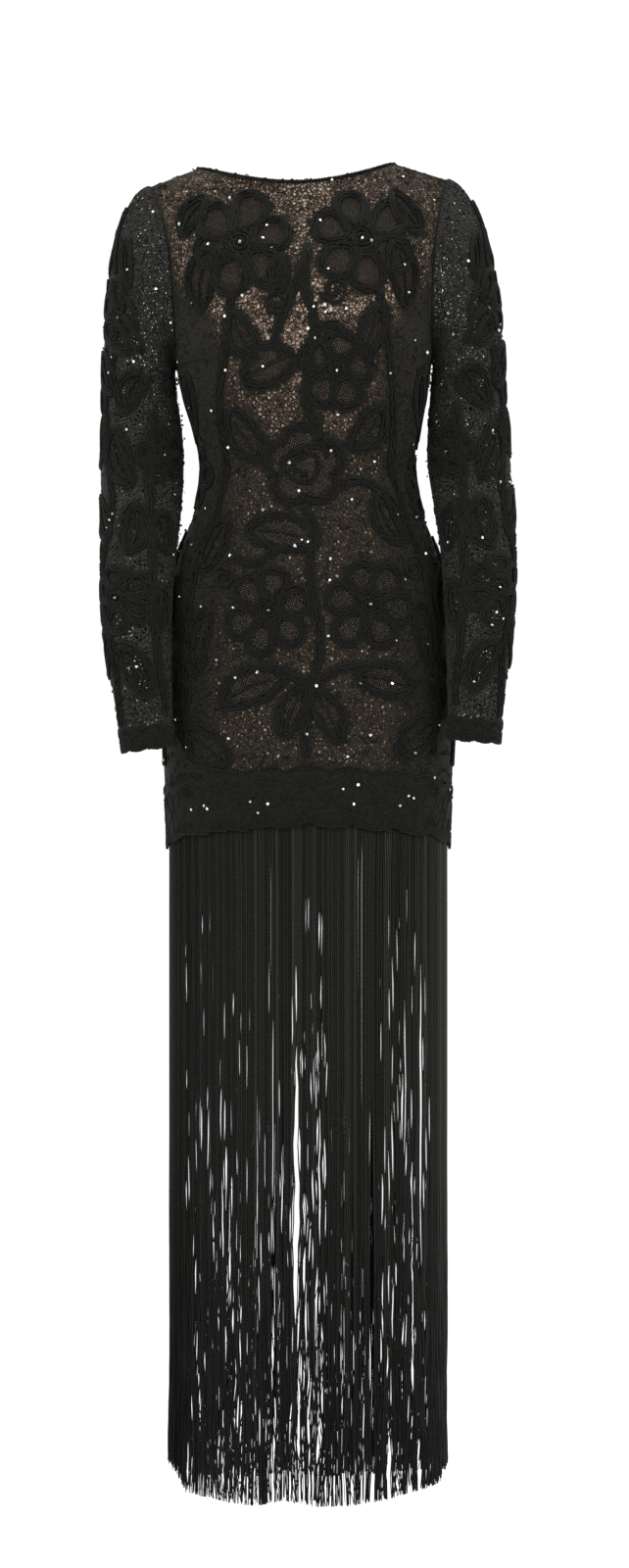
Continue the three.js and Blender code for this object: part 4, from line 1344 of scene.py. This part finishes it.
def thread_places(face, random, count):
    """Where along the hem one face's threads hang, and how far each is from the middle."""
    fine = np.linspace(-1, 1, 801)
    at_knee = fringe_point(face, fine, np.full(fine.shape, float(KNEE_Z)), np.full(fine.shape, 2.0))
    run = run_along(at_knee)
    places = (np.arange(count) + random.uniform(-0.2, 0.2, count) + 0.5) / count * run[-1]
    across = np.clip(np.interp(places, run, fine), -0.998, 0.998)
    x = np.interp(across, fine, at_knee[:, 0])
    if face == BACK:
        thin = sum(less * np.exp(-((x - gap) / THINNED_OVER) ** 2) for gap, *_, less in FRONT_GAPS)
        stays = random.random(count) > thin
        across, x = across[stays], x[stays]
    return across, x - MIDDLE_X


def thread_moves(face, random, points, aside, drop):
    """How far each thread is moved to its side and outwards at each height, and how tangled its end is."""
    count, z = len(points), points[..., 2]
    depth = 1 - points[..., 1] / SIGHT[1]
    seen_x = SIGHT[0] + (points[..., 0] - SIGHT[0]) / depth
    seen_z = SIGHT[2] + (z - SIGHT[2]) / depth
    gaps = fringe_gaps()
    if face == FRONT:
        gaps += [(x, (high + low) / 2, (high - low) / 2, half) for x, high, low, half, _ in FRONT_GAPS]
    facing = np.clip(np.abs(aside[..., 0]), EDGE_ON, 1)
    push = part_threads(seen_x, seen_z, gaps) * np.sign(aside[..., 0]) * smooth((facing - EDGE_ON) / 0.3)
    tangled = sum(np.exp(-((seen_x[:, -1:] - middle) / spread) ** 4) for middle, spread, *_ in GAP_STRETCHES)
    loose = np.clip((drop - LOOSE_FROM) / (1 - LOOSE_FROM), 0, 1) ** 1.5
    sway = np.sin(z / 33.0 + seen_x / 7.0) * 0.7 + np.sin(z / 19.0 - seen_x / 11.0) * 0.4
    own, pace = random.uniform(0, TAU, (count, 1)), random.uniform(9, 26, (count, 1))
    wild = random.uniform(0, 1, (count, 1)) ** 4 * (0.15 + 0.85 * tangled)
    jitter = (np.sin(z / pace + own) * (0.25 + 4.0 * wild)
              + np.sin(z / (pace * 0.43) + own * 2) * (0.1 + 1.5 * wild))
    move = push / facing + (sway + jitter) * loose + random.normal(0, 0.2, (count, 1)) * np.clip(drop, 0, 1)
    bob = np.sin(z / 23.0 + own * 1.7) * 1.1 + np.sin(z / 41.0 + seen_x / 9.0) * 1.1
    return move[..., None], (bob * loose)[..., None], tangled[:, 0]


def fringe_threads(face, count, radius, seed):
    """One face's threads: straight above, and parted, tangled and ragged towards their ends."""
    random = np.random.default_rng(seed)
    across, aside_x = thread_places(face, random, count)
    count = len(across)
    share = np.concatenate([[0, 0.012, 0.03, 0.06], np.linspace(0.1, 1, 32)])
    end = np.interp(aside_x, *FRINGE_ENDS.T) + random.uniform(0, 1, count) ** 3 * ENDS_VARY
    end = end + (random.random(count) < SHORT_SHARE) * random.uniform(*SHORT_BY, count)
    top = hem_z(across) + FRINGE_HEADING - 2
    z = top[:, None] + (end - top)[:, None] * share
    drop = (z - DROP_FROM_Z) / (FRINGE_END_Z - DROP_FROM_Z)
    inward = 0.7 + ROW_GAP * (np.arange(count) % ROWS) + random.uniform(-0.2, 0.2, count)
    wide, inward = (np.broadcast_to(value[:, None], z.shape) for value in (across, inward))
    points, after, before = (fringe_point(face, np.clip(wide + step, -1, 1), z, inward)
                             for step in (0, 0.004, -0.004))
    aside = unit(after - before)
    outward = np.cross(aside, np.array([0, 0, 1.0]))
    move, bob, tangled = thread_moves(face, random, points, aside, drop)
    points = points + aside * move + outward * bob
    cords = Cords(3)
    cords.add(points, outward, radius * random.uniform(0.8, 1.15, (count, 1)))
    # Each thread's share of painted sheen: lighter and darker bands across the fringe, mixed with its own
    # random share.
    sheen_streak = 0.5 + 0.25 * np.sin(aside_x / 3.1) + 0.25 * np.sin(aside_x / 1.3 + 1)
    sheen_share = [np.repeat(mix(sheen_streak, random.uniform(0, 1, count), 0.6), z.shape[1] * 3)]
    likely = tangled + 0.06
    for k in random.choice(count, TANGLES, p=likely / likely.sum()):
        m = random.integers(*((30, z.shape[1] - 1) if random.random() < 0.5 else (20, 30)))
        big = random.random() < 0.6
        length, size = (40, random.uniform(3.0, 6.5)) if big else (14, random.uniform(1.4, 2.4))
        curl = np.cumsum(random.normal(0, 1, (length, 3)), 0) * (1, 0.3, 1.5)
        curl = (curl - curl.mean(0)) / np.abs(curl).max() * size
        cords.add(points[k, m] + curl, outward[k, m], radius * 0.9)
        sheen_share.append(np.full(length * 3, DULL_STRAND))
    return cords, np.concatenate(sheen_share)


# Threads that have caught and hang across a gap in front: places across from the middle, and heights.
STRAYS = [
    [(-51, -1248), (-45, -1255), (-38, -1258), (-33, -1252), (-29, -1245)],
    [(-47, -1311), (-41, -1318), (-36, -1315), (-32, -1301)],
]


def fringe(face, node, count, radius, seed):
    """One face of the fringe, with the stray threads over the front."""
    cords, sheen_share = fringe_threads(face, count, radius, seed)
    for line in STRAYS if face == FRONT else ():
        x, z = spline(line, 2.5).T
        y = -FRINGE_FRONT * np.sqrt(1 - (x / FRINGE_SIDE) ** 2) - 2.0
        cords.add(np.stack([x + MIDDLE_X, y, z], -1), np.array([0, -1.0, 0]), radius * 0.8)
    obj = cords.join(f"{node}_threads", finish("fringe_thread"))
    # The strand share sets each thread's painted sheen; stray threads get little.
    strand = np.full(len(obj.data.vertices), DULL_STRAND)
    strand[:len(sheen_share)] = sheen_share
    write_share(obj, "strand", strand)
    keep(node, obj, "fringe", node)


# ---- Sequins ----

SHOWER_SPREAD, SEQUIN_ROOM, SEQUIN_LIFT, SEQUIN_TILT = 9, 5, 2.3, 0.34
# Small showers of sequins, as places across and up.
FRONT_SHOWERS = [(18, -172), (-12, -424), (20, -438), (10, -190), (28, -165), (-36, -90), (70, -100),
                 (40, -280), (-112, -690), (-40, -690), (36, -684), (104, -692)]
BACK_SHOWERS = [(46, -168), (70, -420), (30, -440), (86, -280), (54, -90)]
SLEEVE_SHOWERS = [(-30, 130), (-24, 300), (-34, 470), (40, 250), (50, 440)]
# How many more sequins are scattered on each cloth, and its showers.
SEQUINS = [("front", 92, FRONT_SHOWERS), ("back", 92, BACK_SHOWERS), ("sleeve_left", 52, SLEEVE_SHOWERS),
           ("sleeve_right", 52, SLEEVE_SHOWERS)]


def one_sequin(size):
    """A cupped, faceted sequin with a hole, at the origin and facing up."""
    bpy.ops.object.select_all(action="DESELECT")
    bpy.ops.mesh.primitive_cylinder_add(vertices=8, radius=size, depth=size * 0.4, end_fill_type="NGON")
    obj = bpy.context.object
    mesh = obj.data
    for inset, sink in ((0.34, -0.12), (0.3, -0.16)):
        for polygon in mesh.polygons:
            polygon.select = polygon.normal.z > 0.9 and len(polygon.vertices) == 8
        bpy.ops.object.mode_set(mode="EDIT")
        bpy.ops.mesh.select_mode(type="FACE")
        bpy.ops.mesh.inset(thickness=size * inset)
        bpy.ops.transform.translate(value=(0, 0, size * sink))
        bpy.ops.object.mode_set(mode="OBJECT")
    points = np.array([v.co for v in mesh.vertices])
    faces = [list(p.vertices) for p in mesh.polygons]
    bpy.data.objects.remove(obj)
    bpy.data.meshes.remove(mesh)
    return points, faces


def sequin_places(name, random, count, showers):
    """Scattered places, small showers and the motifs' own, kept off one another."""
    c, d = cloth(name), drawing(name)
    low, high = np.array([c.s.min(), c.t.min()]) + 5, np.array([c.s.max(), c.t.max()]) - 5
    places = list(d.sequins)
    for s, t in showers:
        for hand in hands(name):
            places += list(random.normal(0, SHOWER_SPREAD, (3, 2)) + (hand * s, t))
    for _ in range(count):
        choices = low + (high - low) * random.random((6, 2))
        room = np.linalg.norm(choices[:, None] - np.array(places), axis=-1).min(1)
        places.append(choices[room.argmax()])
    kept = []
    for place in places:
        if all(math.dist(place, other) > SEQUIN_ROOM for other in kept):
            kept.append(place)
    return np.array(kept)


def sequins(name, points, faces, count, showers, seed):
    random = np.random.default_rng(seed)
    places = sequin_places(name, random, count, showers)
    centre, outward, on = cloth(name).place(places[:, 0], places[:, 1], SEQUIN_LIFT)
    centre, outward = centre[on], outward[on]
    face_up = unit(outward + random.normal(0, SEQUIN_TILT, outward.shape))
    side = unit(np.cross(face_up, random.normal(0, 1, outward.shape)))
    across = np.cross(face_up, side)
    size = random.uniform(0.8, 1.12, (len(centre), 1, 1))
    local = points[None] * size
    world = centre[:, None] + local[..., :1] * side[:, None] + local[..., 1:2] * across[:, None]
    world = world + local[..., 2:] * face_up[:, None]
    step = (np.arange(len(centre)) * len(points))[:, None, None]
    groups = {}
    for f in faces:
        groups.setdefault(len(f), []).append(f)
    arrays = [(np.array(group)[None] + step).reshape(-1, n) for n, group in groups.items()]
    uvs = [np.zeros((len(a), a.shape[1], 2)) for a in arrays]
    obj = build_object(f"{name}_sequins", world.reshape(-1, 3), arrays, uvs, finish("sequins"), False)
    keep(f"{name}_sequins", obj, "border")


# ---- Settings, operators and panel ----


def colour_setting(name, description, default):
    return FloatVectorProperty(name=name, description=description, subtype="COLOR", size=3, min=0, max=1,
                               default=default)


def length_setting(name, description, default, low, high):
    return FloatProperty(name=name, description=description, subtype="DISTANCE", unit="LENGTH",
                         min=low, max=high, default=default, precision=5)


class GownLook(bpy.types.PropertyGroup):
    """Sizes and colours of the gown."""

    lace_colour: colour_setting("Lace colour", "Colour of the lace ground", (0.0096, 0.0088, 0.0058))
    cord_colour: colour_setting("Cord colour", "Colour of the couched cords", (0.0052, 0.0056, 0.0038))
    lining_colour: colour_setting("Lining colour", "Colour of the lining", (0.56, 0.41, 0.31))
    fringe_colour: colour_setting("Fringe colour", "Colour of the fringe thread", (0.0073, 0.008, 0.0062))
    sequin_colour: colour_setting("Sequin colour", "Colour of the sequins", (0.9, 0.9, 0.88))
    lace_openness: FloatProperty(
        name="Lace openness", description="How open the ground of the lace is",
        min=0, max=0.15, default=0.085)
    sequin_radius: length_setting("Sequin radius", "Radius of a sequin", 0.0016, 0.0005, 0.004)
    thread_radius: length_setting("Thread radius", "Radius of a fringe thread", 0.00064, 0.0002, 0.002)
    threads: IntProperty(
        name="Threads", description="Threads in each face of the fringe", min=50, max=1200, default=620)


class GOWN_OT_bodice(bpy.types.Operator):
    """Makes the front and back of the bodice, in lace over a lining"""
    bl_idname = "gown.bodice"
    bl_label = "Bodice"

    def execute(self, context):
        for name in ("front", "back"):
            lace_panels(name, f"{name}_lace")
            lining_panels(name, f"{name}_lining")
        return {"FINISHED"}


class GOWN_OT_sleeves(bpy.types.Operator):
    """Makes both unlined lace sleeves"""
    bl_idname = "gown.sleeves"
    bl_label = "Sleeves"

    def execute(self, context):
        for side in SIDES:
            lace_panels(f"sleeve_{side}", f"sleeve_{side}")
        return {"FINISHED"}


class GOWN_OT_borders(bpy.types.Operator):
    """Makes the scalloped borders of the hem and cuffs"""
    bl_idname = "gown.borders"
    bl_label = "Hem and cuff borders"

    def execute(self, context):
        for k, name in enumerate(("front", "back")):
            border_band(name, f"hem_band_{name}", SEEDS["hem"] + k)
        for k, side in enumerate(SIDES):
            border_band(f"sleeve_{side}", f"cuff_band_{side}", SEEDS["cuff"] + k)
        return {"FINISHED"}


class GOWN_OT_neck_binding(bpy.types.Operator):
    """Makes the corded edge of the neckline"""
    bl_idname = "gown.neck_binding"
    bl_label = "Neck binding"

    def execute(self, context):
        neck_binding()
        return {"FINISHED"}


class GOWN_OT_fringe(bpy.types.Operator):
    """Hangs the thread fringe from the hem"""
    bl_idname = "gown.fringe"
    bl_label = "Fringe"

    def execute(self, context):
        look = context.scene.gown_look
        radius = look.thread_radius / MM
        fringe(FRONT, "fringe_front", look.threads, radius, SEEDS["fringe"])
        fringe(BACK, "fringe_back", look.threads, radius, SEEDS["fringe"] + 1)
        return {"FINISHED"}


class GOWN_OT_sequins(bpy.types.Operator):
    """Sews sequins over the lace"""
    bl_idname = "gown.sequins"
    bl_label = "Sequins"

    def execute(self, context):
        points, faces = one_sequin(context.scene.gown_look.sequin_radius / MM)
        for k, (name, count, showers) in enumerate(SEQUINS):
            sequins(name, points, faces, count, showers, SEEDS["sequins"] + k)
        return {"FINISHED"}


class GOWN_OT_cut(bpy.types.Operator):
    """Works out each sheet of cloth, if not yet done; the lists of what is sewn to each are not used"""
    bl_idname = "gown.cut"
    bl_label = "Cut of the cloth"

    def execute(self, context):
        for name in ("front", "back"):
            band = f"hem_band_{name}"
            for label, ending, _, _ in panels(name):
                sewn = [f"{name}_lace{ending}_{part}" for part in ("ground", "cords", "loops")]
                if label != "right":
                    sewn += [f"{name}_sequins", band, f"{band}_cords", f"fringe_{name}"]
                cloth(name)
        for side in SIDES:
            name, band = f"sleeve_{side}", f"cuff_band_{side}"
            sewn = ([f"{name}_{part}" for part in ("ground", "cords", "loops", "sequins")]
                    + [band, f"{band}_cords"])
            cloth(name)
        return {"FINISHED"}


FLOOR_Z, SKY_STRENGTH, CAMERA_PLACE = -1.64, 1.05, (0.0212, -4.5, -0.67)
LAMP_AIM = (0.0, 0.0, -0.35)
LAMPS = [("key", (-1.5, -2.5, 1.7), 1.6, 62), ("fill", (2.0, -2.3, 1.3), 1.6, 42),
         ("top", (0.2, 0.6, 2.2), 1.4, 18)]


class GOWN_OT_studio(bpy.types.Operator):
    """Makes the pale floor, the soft lights and the camera"""
    bl_idname = "gown.studio"
    bl_label = "Studio"

    def execute(self, context):
        scene = context.scene
        bpy.ops.object.select_all(action="DESELECT")
        bpy.ops.mesh.primitive_circle_add(vertices=64, radius=30, fill_type="NGON", location=(0, 0, FLOOR_Z))
        floor = context.object
        floor.name = "floor"
        bpy.ops.object.transform_apply(location=True, rotation=True, scale=True)
        floor.data.materials.append(finish("studio_floor"))
        scene.world = bpy.data.worlds.new("studio")
        scene.world.use_nodes = True
        sky = scene.world.node_tree.nodes["Background"].inputs
        sky["Color"].default_value, sky["Strength"].default_value = (1, 1, 1, 1), SKY_STRENGTH
        for name, place, size, watts in LAMPS:
            bpy.ops.object.light_add(type="AREA", location=place)
            lamp = context.object
            lamp.name = f"{name}_light"
            lamp.data.size, lamp.data.energy = size, watts
            x, y, z = np.array(LAMP_AIM) - np.array(place)
            lamp.rotation_euler = (math.atan2(math.hypot(x, y), -z), 0, math.atan2(y, x) - math.pi / 2)
        bpy.ops.object.camera_add(location=CAMERA_PLACE, rotation=(math.pi / 2, 0, 0))
        scene.camera = context.object
        scene.camera.data.sensor_fit = "VERTICAL"
        scene.camera.data.sensor_height, scene.camera.data.lens = 36, 95.5
        scene.view_settings.view_transform = "Standard"
        return {"FINISHED"}


class GOWN_PT_panel(bpy.types.Panel):
    """Lists the gown's settings and its operators"""
    bl_idname = "GOWN_PT_panel"
    bl_label = "Lace and fringe gown"
    bl_space_type = "VIEW_3D"
    bl_region_type = "UI"
    bl_category = "Gown"

    def draw(self, context):
        for key in GownLook.__annotations__:
            self.layout.prop(context.scene.gown_look, key)
        for operator in OPERATORS:
            self.layout.operator(operator.bl_idname)


OPERATORS = (GOWN_OT_studio, GOWN_OT_bodice, GOWN_OT_sleeves, GOWN_OT_borders, GOWN_OT_neck_binding,
             GOWN_OT_fringe, GOWN_OT_sequins, GOWN_OT_cut)
CLASSES = (GownLook, *OPERATORS, GOWN_PT_panel)


def register():
    for cls in CLASSES:
        bpy.utils.register_class(cls)
    bpy.types.Scene.gown_look = PointerProperty(type=GownLook)


def unregister():
    del bpy.types.Scene.gown_look
    for cls in reversed(CLASSES):
        bpy.utils.unregister_class(cls)


def main():
    register()
    bpy.ops.gown.studio()
    bpy.ops.gown.bodice()
    bpy.ops.gown.sleeves()
    bpy.ops.gown.borders()
    bpy.ops.gown.neck_binding()
    bpy.ops.gown.fringe()
    bpy.ops.gown.sequins()
    bpy.ops.gown.cut()


if __name__ == "__main__":
    main()
